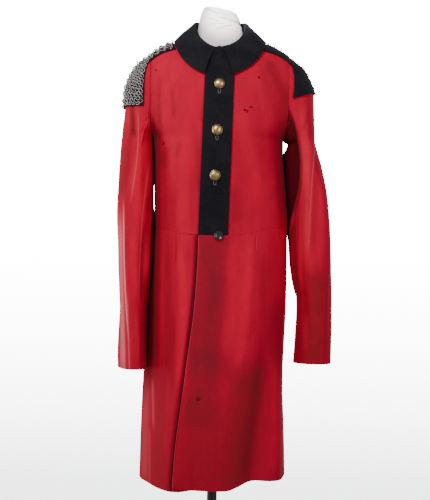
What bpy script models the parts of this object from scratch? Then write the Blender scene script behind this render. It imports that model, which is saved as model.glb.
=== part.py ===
"""A long red coat with a wide collar, shoulder patches and ring mail, worn by a limbless dress form.

Metres, +Z up. The form's pole stands at X = Y = 0 on a base whose underside is Z = 0. The front faces -Y, and
left and right are the wearer's, so the left is at +X. Each piece of cloth is a wall. Its outer points lie on
two surfaces, the body's and a sleeve's, which short tables describe as level sections.
"""

import math
from types import SimpleNamespace

import bmesh
import bpy
import numpy as np
from mathutils import Vector

CLOTH = 0.0020
SEAM_GAP = 0.0003
FRONT, BACK = -1, 1
RIGHT, LEFT = -1, 1

# Heights of the coat's main lines
MEAN_HEM = 0.455
SIDE_WAIST = 1.000
ARMPIT = 1.197
NECKLINE_SIDE = 1.420
NECKLINE_FRONT = 1.374
NECKLINE_BACK = 1.408
NECK_REACH = 0.064
ARMHOLE_TOP = 0.150

# How finely the walls are cut
BODICE_ROWS = 16
SKIRT_ROWS = 9
SLEEVE_ROWS = 20
UPPER_SLEEVE_COLUMNS = 14
UNDER_SLEEVE_COLUMNS = 10
COLLAR_COLUMNS = 13
BAND_COLUMNS = 4
PATCH_COLUMNS, PATCH_ROWS = 11, 12


def curve(places, values):
    """A smooth curve through the rows of a table that doesn't overshoot between them."""
    places, values = np.asarray(places, float), np.asarray(values, float)
    steps = np.diff(places)
    slopes = np.diff(values) / steps
    tangents = np.zeros_like(values)
    tangents[0], tangents[-1] = slopes[0], slopes[-1]
    before, after = slopes[:-1], slopes[1:]
    same_way = before * after > 0
    weight_1, weight_2 = 2 * steps[1:] + steps[:-1], steps[1:] + 2 * steps[:-1]
    shared = weight_1 / np.where(same_way, before, 1) + weight_2 / np.where(same_way, after, 1)
    tangents[1:-1] = np.where(same_way, (weight_1 + weight_2) / np.where(same_way, shared, 1), 0)

    def at(place):
        place = np.clip(place, places[0], places[-1])
        i = np.clip(np.searchsorted(places, place, side="right") - 1, 0, len(steps) - 1)
        t = (place - places[i]) / steps[i]
        return (
            values[i] * (1 + 2 * t) * (1 - t) ** 2
            + values[i + 1] * t * t * (3 - 2 * t)
            + steps[i] * (tangents[i] * t * (1 - t) ** 2 - tangents[i + 1] * t * t * (1 - t))
        )

    return at


def table(names, rows):
    """A table as smooth curves, one for each named column after the first, over the first."""
    columns = np.array(rows, float).T
    return SimpleNamespace(**{
        name: curve(columns[0], column) for name, column in zip(names.split()[1:], columns[1:])
    })


# The waist seam's height across the coat
WAIST = table("across front back", [
    (-0.136, 1.0015, 1.0015),
    (-0.121, 0.9990, 1.0005),
    (-0.096, 0.9934, 1.0000),
    (-0.083, 0.9888, 1.0000),
    (-0.042, 0.9868, 1.0000),
    (0.000, 0.9860, 1.0000),
    (0.045, 0.9880, 1.0005),
    (0.070, 0.9910, 1.0015),
    (0.100, 1.0010, 1.0030),
    (0.126, 1.0060, 1.0050),
    (0.155, 1.0080, 1.0080),
])

# The hem's height across the coat: the front underneath, the front that wraps over it, and the back
HEM = table("across under over back", [
    (-0.1615, 0.4602, 0.4602, 0.4602),
    (-0.1540, 0.4585, 0.4600, 0.4608),
    (-0.1330, 0.4523, 0.4600, 0.4620),
    (-0.1100, 0.4468, 0.4595, 0.4626),
    (-0.0880, 0.4437, 0.4576, 0.4630),
    (-0.0730, 0.4440, 0.4502, 0.4633),
    (-0.0420, 0.4490, 0.4494, 0.4636),
    (0.0000, 0.4500, 0.4488, 0.4640),
    (0.0295, 0.4500, 0.4494, 0.4645),
    (0.0490, 0.4500, 0.4545, 0.4650),
    (0.0850, 0.4500, 0.4640, 0.4660),
    (0.1020, 0.4500, 0.4668, 0.4670),
    (0.1280, 0.4500, 0.4645, 0.4685),
    (0.1420, 0.4500, 0.4640, 0.4700),
    (0.1530, 0.4500, 0.4662, 0.4712),
    (0.1615, 0.4500, 0.4718, 0.4718),
])

# The body from the hem to the neck: how far it reaches to each side, and its depth before and behind the pole
BODY = table("height right left front back roundness", [
    (0.440, 0.1612, 0.1612, 0.136, 0.134, 2.30),
    (0.550, 0.1590, 0.1560, 0.133, 0.131, 2.30),
    (0.670, 0.1560, 0.1500, 0.128, 0.127, 2.30),
    (0.760, 0.1520, 0.1525, 0.123, 0.121, 2.30),
    (0.845, 0.1480, 0.1555, 0.118, 0.115, 2.30),
    (0.930, 0.1410, 0.1560, 0.112, 0.106, 2.30),
    (1.000, 0.1365, 0.1553, 0.1085, 0.100, 2.30),
    (1.040, 0.1370, 0.1535, 0.1095, 0.100, 2.30),
    (1.080, 0.1385, 0.1498, 0.1125, 0.103, 2.32),
    (1.120, 0.1387, 0.1460, 0.117, 0.107, 2.35),
    (1.160, 0.1390, 0.1425, 0.121, 0.111, 2.35),
    (1.197, 0.1425, 0.1425, 0.123, 0.113, 2.35),
    (1.250, 0.1480, 0.1480, 0.120, 0.112, 2.30),
    (1.300, 0.1500, 0.1500, 0.113, 0.107, 2.20),
    (1.340, 0.1500, 0.1500, 0.103, 0.098, 2.10),
    (1.375, 0.1500, 0.1500, 0.089, 0.083, 2.02),
    (1.392, 0.1400, 0.1400, 0.080, 0.073, 2.00),
    (1.406, 0.1000, 0.1000, 0.0725, 0.0655, 2.00),
    (1.430, 0.0500, 0.0500, 0.057, 0.052, 2.00),
])

# The slope of the shoulder, from the side of the neck down over the head of the sleeve, which starts at
# HEAD_FOOT
HEAD_FOOT = 1.299
SHOULDER = table("height right left", [
    (1.250, 0.2070, 0.2100),
    (1.299, 0.2050, 0.2080),
    (1.331, 0.1942, 0.1960),
    (1.355, 0.1805, 0.1815),
    (1.3655, 0.1680, 0.1685),
    (1.3755, 0.1545, 0.1545),
    (1.3845, 0.1440, 0.1440),
    (1.3920, 0.1325, 0.1325),
    (1.3985, 0.1195, 0.1195),
    (1.4058, 0.1005, 0.1005),
    (1.4145, 0.0795, 0.0795),
    (1.4215, 0.0600, 0.0600),
    (1.4300, 0.0350, 0.0350),
])

# Where the armhole seam stands, as a distance from the middle
ARMHOLE = table("height reach", [
    (1.197, 0.1425),
    (1.215, 0.1450),
    (1.250, 0.1480),
    (1.300, 0.1490),
    (1.390, ARMHOLE_TOP),
])
DEEPEST_SHARE = 0.97

# Each sleeve from cuff to shoulder. Above the armpit the inner side lies inside the body, where the armhole
# cuts it off. Lean is how far the section slides inward for each metre that it goes back.
SLEEVES = {
    RIGHT: table("height outer inner front back middle lean", [
        (0.690, 0.2065, 0.1490, 0.056, 0.056, -0.062, -0.20),
        (0.735, 0.2068, 0.1490, 0.057, 0.057, -0.059, -0.20),
        (0.775, 0.2070, 0.1515, 0.058, 0.058, -0.055, -0.14),
        (0.820, 0.2065, 0.1535, 0.060, 0.060, -0.050, -0.04),
        (0.870, 0.2060, 0.1545, 0.062, 0.062, -0.043, 0.06),
        (0.930, 0.2085, 0.1530, 0.064, 0.064, -0.034, 0.10),
        (0.975, 0.2110, 0.1495, 0.065, 0.065, -0.027, 0.08),
        (1.030, 0.2142, 0.1455, 0.066, 0.066, -0.020, 0.05),
        (1.070, 0.2155, 0.1445, 0.067, 0.067, -0.016, 0.03),
        (1.120, 0.2170, 0.1442, 0.067, 0.067, -0.012, 0.01),
        (1.160, 0.2158, 0.1445, 0.066, 0.066, -0.008, 0.00),
        (1.185, 0.2140, 0.1455, 0.064, 0.064, -0.006, 0.00),
        (1.197, 0.2128, 0.1425, 0.063, 0.063, -0.005, 0.00),
        (1.215, 0.2112, 0.1300, 0.066, 0.066, -0.004, 0.00),
        (1.250, 0.2070, 0.1000, 0.071, 0.070, -0.002, 0.00),
        (1.300, 0.2050, 0.0500, 0.072, 0.070, 0.000, 0.00),
        (1.340, 0.1920, 0.0000, 0.064, 0.063, 0.000, 0.00),
        (1.360, 0.1750, -0.020, 0.055, 0.055, 0.000, 0.00),
        (1.385, 0.1500, -0.050, 0.038, 0.038, 0.000, 0.00),
    ]),
    LEFT: table("height outer inner front back middle lean", [
        (0.705, 0.2530, 0.1712, 0.050, 0.050, -0.026, 0.05),
        (0.745, 0.2530, 0.1734, 0.052, 0.052, -0.026, 0.05),
        (0.790, 0.2527, 0.1760, 0.054, 0.054, -0.025, 0.05),
        (0.830, 0.2522, 0.1780, 0.055, 0.055, -0.024, 0.06),
        (0.855, 0.2518, 0.1775, 0.056, 0.056, -0.023, 0.08),
        (0.870, 0.2515, 0.1726, 0.057, 0.057, -0.022, 0.10),
        (0.900, 0.2503, 0.1665, 0.058, 0.058, -0.021, 0.14),
        (0.935, 0.2488, 0.1622, 0.060, 0.060, -0.019, 0.18),
        (0.990, 0.2452, 0.1600, 0.062, 0.062, -0.016, 0.22),
        (1.040, 0.2400, 0.1585, 0.064, 0.064, -0.014, 0.24),
        (1.080, 0.2355, 0.1550, 0.065, 0.065, -0.012, 0.22),
        (1.110, 0.2306, 0.1520, 0.066, 0.066, -0.010, 0.18),
        (1.160, 0.2210, 0.1475, 0.065, 0.065, -0.008, 0.08),
        (1.172, 0.2180, 0.1472, 0.064, 0.064, -0.007, 0.04),
        (1.182, 0.2155, 0.1510, 0.063, 0.063, -0.006, 0.02),
        (1.190, 0.2135, 0.1530, 0.062, 0.062, -0.005, 0.00),
        (1.197, 0.2120, 0.1425, 0.062, 0.062, -0.005, 0.00),
        (1.215, 0.2108, 0.1300, 0.066, 0.066, -0.004, 0.00),
        (1.250, 0.2100, 0.1000, 0.071, 0.070, -0.002, 0.00),
        (1.300, 0.2080, 0.0500, 0.072, 0.070, 0.000, 0.00),
        (1.340, 0.1920, 0.0000, 0.064, 0.063, 0.000, 0.00),
        (1.360, 0.1750, -0.020, 0.055, 0.055, 0.000, 0.00),
        (1.385, 0.1500, -0.050, 0.038, 0.038, 0.000, 0.00),
    ]),
}
SLEEVE_ROUNDNESS = 2.25
CUFF = {RIGHT: 0.694, LEFT: 0.711}
SLEEVE_SEAM = math.radians(110)
SLEEVE_RADIUS = 0.060

# Soft folds of the body. Angles are degrees from the front, plus to the left, drift is degrees a metre, and
# rise is how far down a fold takes to reach its full height
BODY_FOLDS = [
    # angle, low, high, width, height, drift, rise
    (-34, 0.40, 0.99, 9, 0.0030, -12, 0.12),
    (-62, 0.40, 0.93, 10, -0.0030, -10, 0.12),
    (-16, 0.40, 0.80, 8, -0.0020, -8, 0.12),
    (10, 0.40, 0.90, 10, 0.0022, 6, 0.12),
    (58, 0.40, 0.87, 13, -0.0260, 68, 0.42),
    (33, 0.60, 1.00, 9, 0.0030, 30, 0.12),
    (72, 0.40, 0.80, 9, 0.0030, 40, 0.20),
    (115, 0.40, 0.95, 12, 0.0050, 0, 0.12),
    (137, 0.40, 0.97, 10, -0.0050, 0, 0.12),
    (158, 0.40, 0.98, 11, 0.0050, 6, 0.12),
    (180, 0.40, 0.98, 10, -0.0040, 0, 0.12),
    (-158, 0.40, 0.98, 11, 0.0050, -6, 0.12),
    (-137, 0.40, 0.97, 10, -0.0050, 0, 0.12),
    (-115, 0.40, 0.95, 12, 0.0050, 0, 0.12),
    (-48, 1.00, 1.17, 9, 0.0022, 30, 0.12),
    (52, 1.00, 1.18, 9, 0.0026, -30, 0.12),
]
FOLD_FOOT_FADE = 0.05
# Ridges (plus) and troughs (minus) along the sleeves, in degrees round from the outer side, 90 at the front
SLEEVE_FOLDS = {
    RIGHT: [
        # low height, low angle, high height, high angle, width, height
        (0.70, 52, 1.08, 20, 15, 0.0030),
        (0.80, 92, 1.17, 78, 12, -0.0026),
        (0.86, 128, 1.15, 106, 12, 0.0028),
        (0.70, -60, 1.12, -40, 18, 0.0030),
        (0.75, -105, 1.10, -90, 14, -0.0028),
    ],
    LEFT: [
        (0.84, 88, 1.18, 70, 11, 0.0030),
        (0.74, 40, 1.15, 30, 16, -0.0022),
        (0.78, 124, 1.15, 112, 13, 0.0026),
        (0.72, -50, 1.12, -45, 18, 0.0030),
        (0.75, -100, 1.10, -85, 14, -0.0028),
    ],
}
# The shares of a sleeve fold's length between which it rises and fades
SLEEVE_FOLD_RISE = (-0.15, 0.15)
SLEEVE_FOLD_FADE = (0.80, 1.10)

# The black band down the front, at its top and at the waist
BAND_TOP = (1.325, -0.0310, 0.0310)
BAND_FOOT = (0.987, -0.0390, 0.0235)
BAND_LIFT = 0.0008

# The wrap-over edge of the left skirt front: where it is across the coat, by height
WRAP = table("z across", [
    (0.447, -0.0843),
    (0.535, -0.0742),
    (0.575, -0.0703),
    (0.701, -0.0600),
    (0.811, -0.0507),
    (0.866, -0.0460),
    (0.928, -0.0422),
    (0.986, -0.0390),
])
UNDERLAP = 0.060
LAP_STEP = 0.0014
LAP_FADE = 0.040
FLARE, FLARE_WIDTH = 0.0020, 0.020
FLARE_LOW, FLARE_HIGH = 0.60, 0.95

# The collar from the front edge of a leaf round to the middle of the back. Base is where the stand meets
# the neckline, fold the highest line of the roll, and edge the outer edge, which lies on the body.
COLLAR = table("along base fold_x fold_y fold_z edge edge_z edge_lift", [
    (0.00, 0.0030, 0.0050, -0.0850, 1.3885, 0.0290, 1.3260, 0.0058),
    (0.12, 0.0220, 0.0210, -0.0810, 1.3935, 0.0490, 1.3360, 0.0034),
    (0.25, 0.0400, 0.0360, -0.0680, 1.4040, 0.0690, 1.3500, 0.0030),
    (0.38, 0.0530, 0.0475, -0.0470, 1.4200, 0.0857, 1.3706, 0.0030),
    (0.48, 0.0610, 0.0550, -0.0220, 1.4400, 0.0960, 1.3940, 0.0042),
    (0.56, 0.0640, 0.0580, 0.0020, 1.4530, 0.0990, 1.4064, 0.0042),
    (0.68, 0.0600, 0.0550, 0.0270, 1.4590, 0.0980, 1.3990, 0.0042),
    (0.80, 0.0450, 0.0420, 0.0460, 1.4620, 0.0820, 1.3850, 0.0032),
    (0.90, 0.0240, 0.0220, 0.0560, 1.4635, 0.0460, 1.3780, 0.0030),
    (1.00, 0.0000, 0.0000, 0.0590, 1.4640, 0.0000, 1.3760, 0.0030),
])
COLLAR_SIDE = 0.56
LEAF_SHIFT = -0.0025
LEAF_SHIFT_END = 0.30
EDGE_SHIFT_SHARE = 0.60
COLLAR_BULGE = 0.0062
ROLL = 0.0032
ROLL_INSIDE, ROLL_OUTSIDE = 1.5, 0.9
COLLAR_CLOTH = 0.0022
STAND_LIFT = 0.0017
STAND_DROP = 0.0012

# The shoulder patches. Each rib runs from a point on the front edge up to the top of the shoulder and down
# to the same point behind.
PATCHES = {
    RIGHT: table("along edge edge_z top_z", [
        (0.00, 0.1045, 1.3825, 1.4042),
        (0.20, 0.1220, 1.3780, 1.3972),
        (0.40, 0.1440, 1.3670, 1.3850),
        (0.55, 0.1570, 1.3510, 1.3710),
        (0.70, 0.1605, 1.3260, 1.3500),
        (0.85, 0.1612, 1.2960, 1.3120),
        (1.00, 0.1612, 1.2620, 1.2620),
    ]),
    LEFT: table("along edge edge_z top_z", [
        (0.00, 0.1045, 1.3825, 1.4042),
        (0.20, 0.1220, 1.3780, 1.3972),
        (0.40, 0.1440, 1.3670, 1.3850),
        (0.55, 0.1570, 1.3520, 1.3720),
        (0.70, 0.1605, 1.3310, 1.3560),
        (0.85, 0.1605, 1.3090, 1.3340),
        (1.00, 0.1580, 1.2830, 1.3010),
    ]),
}
PATCH_LIFT = 0.0014
PATCH_CLOTH = 0.0018
MAIL_LIFT = PATCH_LIFT + PATCH_CLOTH + 0.0008
MAIL_THICKNESS = 0.0024
MAIL_START, MAIL_END = 0.02, 0.985
MAIL_FRONT = {RIGHT: -0.93, LEFT: 0.04}
MAIL_BACK = 0.97

# Buttons: height on the front, distance from the middle, radius and depth
BRASS_BUTTONS = [(1.3060, 0.0000), (1.2076, -0.0030), (1.1127, -0.0060)]
BRASS_RADIUS, BRASS_DEPTH = 0.0115, 0.0085
BLACK_BUTTON = (0.9860, 0.0040)
BLACK_RADIUS, BLACK_DEPTH = 0.0098, 0.0050
BUTTON_SIDES = 18

# The dress form and its stand
FORM_FOOT = 0.700
FORM_TOP = 1.426
FORM_WIDEST = 0.1340
FORM_SQUARENESS = 14
FORM_HEIGHTS = (
    0.700, 0.706, 0.722, 0.760, 0.820, 0.880, 0.940, 1.000, 1.050, 1.110, 1.170, 1.230, 1.280, 1.315, 1.340,
    1.357, 1.370, 1.3785, 1.3855, 1.392, 1.3985, 1.405, 1.411, 1.417, 1.4225,
)
FORM_CLEARANCE = table("height clearance", [
    (0.700, 0.0340),
    (0.706, 0.0220),
    (0.722, 0.0160),
    (0.760, 0.0130),
    (0.900, 0.0130),
    (1.000, 0.0140),
    (1.150, 0.0120),
    (1.250, 0.0080),
    (1.330, 0.0035),
    (1.370, 0.0012),
    (1.430, 0.0012),
])
NECK_CLEARANCE = 0.011
NECK_SIDES = 28
NECK_FLATNESS = 0.98
NECK_PROFILE = [(1.4263, 0.0515), (1.4360, 0.0495), (1.4520, 0.0465), (1.4680, 0.0420), (1.4790, 0.0370)]
NECK_SLANT = 0.20
POLE_RADIUS = 0.0110
BASE_RADIUS, BASE_HEIGHT = 0.170, 0.014
BASE_BEVEL = 0.006
BOSS_RADIUS, BOSS_HEIGHT = 0.026, 0.034
BOSS_FILLET, BOSS_BEVEL = 0.004, 0.002
SOCKET_DEPTH = 0.012
POLE_SIDES, BASE_SIDES = 24, 30


def unit(vectors):
    return vectors / np.maximum(np.linalg.norm(vectors, axis=-1, keepdims=True), 1e-12)


def ramp(value, low, high):
    """0 below low, 1 above high, and a smooth step between them."""
    t = np.clip((value - low) / (high - low), 0, 1)
    return t * t * (3 - 2 * t)


RIDGE_HEIGHTS = np.linspace(1.35, 1.43, 801)


def ridge(x):
    """The height of the shoulder seam."""
    return np.interp(-np.abs(x), -SHOULDER.left(RIDGE_HEIGHTS), RIDGE_HEIGHTS)


SHOULDER_POINT = float(ridge(ARMHOLE_TOP))


def sleeve_section(side, z):
    """The middle, half width, depths, place and lean of a sleeve's level section."""
    sleeve = SLEEVES[side]
    head = SHOULDER.right(z) if side == RIGHT else SHOULDER.left(z)
    outer = np.where(z > HEAD_FOOT, head, sleeve.outer(z))
    inner = sleeve.inner(z)
    return SimpleNamespace(
        centre=(outer + inner) / 2, half=(outer - inner) / 2, front=sleeve.front(z), back=sleeve.back(z),
        middle=sleeve.middle(z), lean=sleeve.lean(z),
    )


def armhole_depth(side, face, z):
    """How far the armhole seam stands before or behind the pole at a height."""
    section = sleeve_section(side, z)
    across = np.clip(np.abs(ARMHOLE.reach(z) - section.centre) / section.half, 0, 1)
    depth = section.front if face == FRONT else section.back
    return depth * (1 - across ** SLEEVE_ROUNDNESS) ** (1 / SLEEVE_ROUNDNESS) + face * section.middle


def body_half(side, face, z):
    """How far the body's level section would reach to a side. Through the armhole it is as wide as takes
    the section through the seam."""
    low = BODY.right(z) if side == RIGHT else BODY.left(z)
    top = SHOULDER.right(z) if side == RIGHT else SHOULDER.left(z)
    depth, power = body_depth(face, z), BODY.roundness(z)
    share = np.clip(armhole_depth(side, face, z) / depth, 0, DEEPEST_SHARE) ** power
    through = ARMHOLE.reach(z) / (1 - share) ** (1 / power)
    return np.where(z < ARMPIT, low, np.where(z < SHOULDER_POINT, through, top))


def body_depth(face, z):
    return BODY.front(z) if face == FRONT else BODY.back(z)


def body_level(side, face, points):
    """1 on the body's surface, less inside it."""
    x, y, z = np.moveaxis(points, -1, 0)
    power = BODY.roundness(z)
    return (np.abs(x) / body_half(side, face, z)) ** power + (np.abs(y) / body_depth(face, z)) ** power


def sleeve_level(side, points):
    """1 on a sleeve's surface, less inside it."""
    x, y, z = np.moveaxis(points, -1, 0)
    section = sleeve_section(side, z)
    back = y - section.middle
    across = (side * x + section.lean * back - section.centre) / section.half
    depth = np.where(back < 0, section.front, section.back)
    return np.abs(across) ** SLEEVE_ROUNDNESS + np.abs(back / depth) ** SLEEVE_ROUNDNESS


def outward(level, points):
    """The direction in which a level rises fastest, which is away from its surface."""
    step = 2e-5
    slopes = [level(points + step * axis) - level(points - step * axis) for axis in np.eye(3)]
    return unit(np.stack(slopes, axis=-1))


def body_angle(x, z, face):
    """Degrees round the body from the front, plus to the wearer's left."""
    share = np.where(
        x < 0, np.abs(x) / body_half(RIGHT, face, z), np.abs(x) / body_half(LEFT, face, z)
    )
    angle = np.degrees(np.arcsin(np.clip(share, 0, 1) ** (BODY.roundness(z) / 2)))
    angle = angle if face == FRONT else 180 - angle
    return np.where(x < 0, -angle, angle)


def body_fold(x, z, face):
    angle = body_angle(x, z, face)
    total = np.zeros_like(angle)
    for middle, low, high, width, height, drift, rise in BODY_FOLDS:
        apart = (angle - middle - drift * (z - high) + 180) % 360 - 180
        fade = ramp(z, low, low + FOLD_FOOT_FADE) * (1 - ramp(z, high - rise, high))
        total += height * np.exp(-((apart / width) ** 2)) * fade
    return total


def body_point(x, z, face):
    """Points of the body's surface, before or behind, with the way out of it."""
    x, z = np.broadcast_arrays(np.asarray(x, float), np.asarray(z, float))
    y = np.zeros_like(x)
    normal = np.zeros(x.shape + (3,))
    for side in (RIGHT, LEFT):
        here = (x < 0) == (side == RIGHT)
        power = BODY.roundness(z)
        share = np.clip(np.abs(x) / body_half(side, face, z), 0, 1)
        depth = body_depth(face, z) * (1 - share ** power) ** (1 / power)
        y = np.where(here, face * np.maximum(depth, SEAM_GAP / 2), y)
        points = np.stack([x, y, z], axis=-1)
        level = lambda p, s=side: body_level(s, face, p)
        normal[here] = outward(level, points)[here]
    return np.stack([x, y, z], axis=-1), normal


def sleeve_fold(side, angle, z):
    degrees = np.degrees(angle)
    total = np.zeros_like(degrees)
    for low, low_angle, high, high_angle, width, height in SLEEVE_FOLDS[side]:
        along = (z - low) / (high - low)
        apart = (degrees - low_angle - (high_angle - low_angle) * along + 180) % 360 - 180
        fade = ramp(along, *SLEEVE_FOLD_RISE) * (1 - ramp(along, *SLEEVE_FOLD_FADE))
        total += height * np.exp(-((apart / width) ** 2)) * fade
    return total


def sleeve_point(side, angle, z):
    """Points of a sleeve's surface. The angle goes round from the outer side, and is 90 degrees in front."""
    section = sleeve_section(side, z)
    power = 2 / SLEEVE_ROUNDNESS
    cosine, sine = np.cos(angle), np.sin(angle)
    depth = np.where(sine > 0, section.front, section.back)
    y = section.middle - depth * np.sign(sine) * np.abs(sine) ** power
    reach = section.centre + section.half * np.sign(cosine) * np.abs(cosine) ** power
    x = side * (reach - section.lean * (y - section.middle))
    points = np.stack([x, y, np.broadcast_to(z, x.shape)], axis=-1)
    return points, outward(lambda p: sleeve_level(side, p), points)


def armhole_angle(side, z):
    """The angle round the sleeve at which the armhole cuts its section."""
    section = sleeve_section(side, z)
    across = (ARMHOLE.reach(z) + SEAM_GAP - section.centre) / section.half
    return np.arccos(np.clip(np.sign(across) * np.abs(across) ** (SLEEVE_ROUNDNESS / 2), -1, 1))


def shoulder_point(side, reach, z, face):
    """Points over the shoulder, of the body inside the armhole seam and of the sleeve outside it."""
    points, normals = body_point(side * reach, z, face)
    section = sleeve_section(side, z)
    across = np.clip((reach - section.centre) / section.half, -1, 1)
    depth = section.front if face == FRONT else section.back
    y = section.middle + face * depth * (1 - np.abs(across) ** SLEEVE_ROUNDNESS) ** (1 / SLEEVE_ROUNDNESS)
    on_sleeve = np.stack([side * reach, y, z], axis=-1)
    sleeve_normals = outward(lambda p: sleeve_level(side, p), on_sleeve)
    outside = (reach > ARMHOLE.reach(z)) & (z < SHOULDER_POINT)
    blend = ramp(reach - ARMHOLE.reach(z), -0.012, 0.012)[..., None]
    points = np.where(outside[..., None], on_sleeve, points)
    mixed = unit(normals * (1 - blend) + sleeve_normals * blend)
    normals = np.where((z < SHOULDER_POINT)[..., None], mixed, normals)
    return points, normals


def material(name, colour, roughness, metallic=0.0):
    made = bpy.data.materials.get(name)
    if made is None:
        made = bpy.data.materials.new(name)
        made.use_nodes = True
        shader = made.node_tree.nodes["Principled BSDF"]
        shader.inputs["Base Color"].default_value = (*colour, 1)
        shader.inputs["Roughness"].default_value = roughness
        shader.inputs["Metallic"].default_value = metallic
    return made


def red_cloth():
    return material("red_cloth", (0.48, 0.012, 0.02), 0.85)


def black_cloth():
    return material("black_cloth", (0.012, 0.012, 0.016), 0.9)


def steel():
    return material("steel_rings", (0.45, 0.44, 0.42), 0.35, 1.0)


def brass():
    return material("brass", (0.55, 0.38, 0.14), 0.3, 1.0)


def black_gloss():
    return material("black_button", (0.01, 0.01, 0.01), 0.2)


def form_cover():
    return material("form_cover", (0.80, 0.74, 0.74), 0.8)


def stand_paint():
    return material("stand_paint", (0.02, 0.012, 0.012), 0.4)


def add_object(name, shape, look):
    mesh = bpy.data.meshes.new(name)
    bmesh.ops.recalc_face_normals(shape, faces=shape.faces)
    shape.to_mesh(mesh)
    shape.free()
    mesh.shade_smooth()
    mesh.set_sharp_from_angle(angle=math.radians(40))
    mesh.materials.append(look)
    made = bpy.data.objects.new(name, mesh)
    bpy.context.collection.objects.link(made)
    return made


def wall(name, outer, inner, look):
    """A closed wall between two grids of points."""
    shape = bmesh.new()
    rows, columns = outer.shape[:2]
    out, back = [
        [[shape.verts.new(Vector(point)) for point in row] for row in grid] for grid in (outer, inner)
    ]
    for grid in (out, back):
        for i in range(rows - 1):
            for j in range(columns - 1):
                shape.faces.new((grid[i][j], grid[i][j + 1], grid[i + 1][j + 1], grid[i + 1][j]))
    for i in (0, rows - 1):
        for j in range(columns - 1):
            shape.faces.new((out[i][j], out[i][j + 1], back[i][j + 1], back[i][j]))
    for j in (0, columns - 1):
        for i in range(rows - 1):
            shape.faces.new((out[i][j], out[i + 1][j], back[i + 1][j], back[i][j]))
    return add_object(name, shape, look)


def cloth_wall(name, points, normals, outside, look, thickness=CLOTH):
    """A wall whose outer face lies outside the surface's points by so much."""
    out = np.broadcast_to(outside, points.shape[:-1])[..., None]
    return wall(name, points + normals * out, points + normals * (out - thickness), look)


def neckline(x, face):
    """The height of the neckline, a half ellipse in front and behind."""
    lowest = NECKLINE_FRONT if face == FRONT else NECKLINE_BACK
    share = np.clip(np.abs(x) / NECK_REACH, 0, 1)
    return NECKLINE_SIDE - (NECKLINE_SIDE - lowest) * np.sqrt(1 - share ** 2)


def waist(x, face):
    return WAIST.front(x) if face == FRONT else WAIST.back(x)


def band_edge(z, edge):
    """Where the band's right (1) or left (2) edge is at a height."""
    along = (z - BAND_FOOT[0]) / (BAND_TOP[0] - BAND_FOOT[0])
    return BAND_FOOT[edge] + (BAND_TOP[edge] - BAND_FOOT[edge]) * along


def wrap_edge(z):
    return WRAP.across(z)


def side_reach(side, face, z):
    """How far a bodice panel goes towards the side at a height: to the side seam, or to the armhole."""
    low = BODY.right(z) if side == RIGHT else BODY.left(z)
    return np.where(z < ARMPIT, low, ARMHOLE.reach(z) - SEAM_GAP / 2)


def spread(start, count_neck, count_side):
    """Places from 0 to 1 across a bodice front, with one at the side of the neck, closer near the side."""
    turn = np.linspace(math.asin(start / NECK_REACH), math.pi / 2, count_neck + 1)
    neck = np.arcsin(np.clip((NECK_REACH * np.sin(turn) - start) / (ARMHOLE_TOP - start), 0, 1)) / (math.pi / 2)
    return np.concatenate([neck, np.linspace(neck[-1], 1, count_side + 1)[1:]])


def bodice_rows(count):
    """Places from 0 at the waist to 1 at the top, close together where the shoulder turns over."""
    return 1 - (1 - np.linspace(0, 1, count + 1)) ** 2


def bodice_grid(side, face, start_of, places, count):
    """A bodice panel's points: columns go from the start to the side, rows from the waist to the top."""
    across = np.sin(places * math.pi / 2)[None, :]
    top_start = float(start_of(np.array(NECKLINE_FRONT))) * side
    top_reach = ARMHOLE_TOP - SEAM_GAP / 2
    top_x = top_start + (top_reach - top_start) * across
    top = np.where(np.abs(top_x) <= NECK_REACH + 1e-6, neckline(top_x, face), ridge(top_x))
    foot_x = start_of(np.array(SIDE_WAIST)) * side
    foot_x = foot_x + (side_reach(side, face, np.array(SIDE_WAIST)) - foot_x) * across
    foot = waist(side * foot_x, face) + SEAM_GAP
    z = foot + (top - foot) * bodice_rows(count)[:, None]
    start = start_of(z) * side
    reach = np.where(z < ARMPIT, side_reach(side, face, z), np.minimum(side_reach(side, face, z), top_reach))
    x = side * (start + (reach - start) * across)
    points, normals = body_point(x, z, face)
    return points, normals, body_fold(x, z, face)


def make_bodice():
    gap = SEAM_GAP / 2
    right_start = lambda z: band_edge(z, 2) - gap
    left_start = lambda z: band_edge(z, 2) + gap
    right = bodice_grid(RIGHT, FRONT, right_start, spread(-BAND_TOP[2], 7, 7), BODICE_ROWS)
    cloth_wall("right_front_bodice", right[0], right[1], right[2], red_cloth())
    left = bodice_grid(LEFT, FRONT, left_start, spread(BAND_TOP[2], 4, 7), BODICE_ROWS)
    cloth_wall("left_front_bodice", left[0], left[1], left[2], red_cloth())
    halves = [
        bodice_grid(side, BACK, lambda z: 0 * z, spread(0.0, 5, 6), BODICE_ROWS) for side in (RIGHT, LEFT)
    ]
    joined = [
        np.concatenate([mirror[:, :0:-1], straight], axis=1) for mirror, straight in zip(halves[0], halves[1])
    ]
    cloth_wall("back_bodice", joined[0], joined[1], joined[2], red_cloth())


def skirt_grid(face, hem, start, end_side, columns):
    """A skirt panel's points, from a start line on the front or from one side round to the other."""
    places = np.linspace(0, 1, columns + 1)[None, :]
    down = np.linspace(0, 1, SKIRT_ROWS + 1)[:, None]
    z = MEAN_HEM + (SIDE_WAIST - MEAN_HEM) * down + 0 * places
    for _ in range(3):
        reach = np.where(end_side == RIGHT, BODY.right(z), BODY.left(z)) * end_side
        if start is None:
            far = np.where(end_side == RIGHT, BODY.left(z), BODY.right(z)) * -end_side
            x = (reach + far) / 2 - (reach - far) / 2 * np.cos(places * math.pi)
        else:
            x = start(z) + (reach - start(z)) * np.sin(places * math.pi / 2)
        low, high = hem(x), waist(x, face) - SEAM_GAP
        z = low + (high - low) * down
    points, normals = body_point(x, z, face)
    return points, normals, body_fold(x, z, face)


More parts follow.
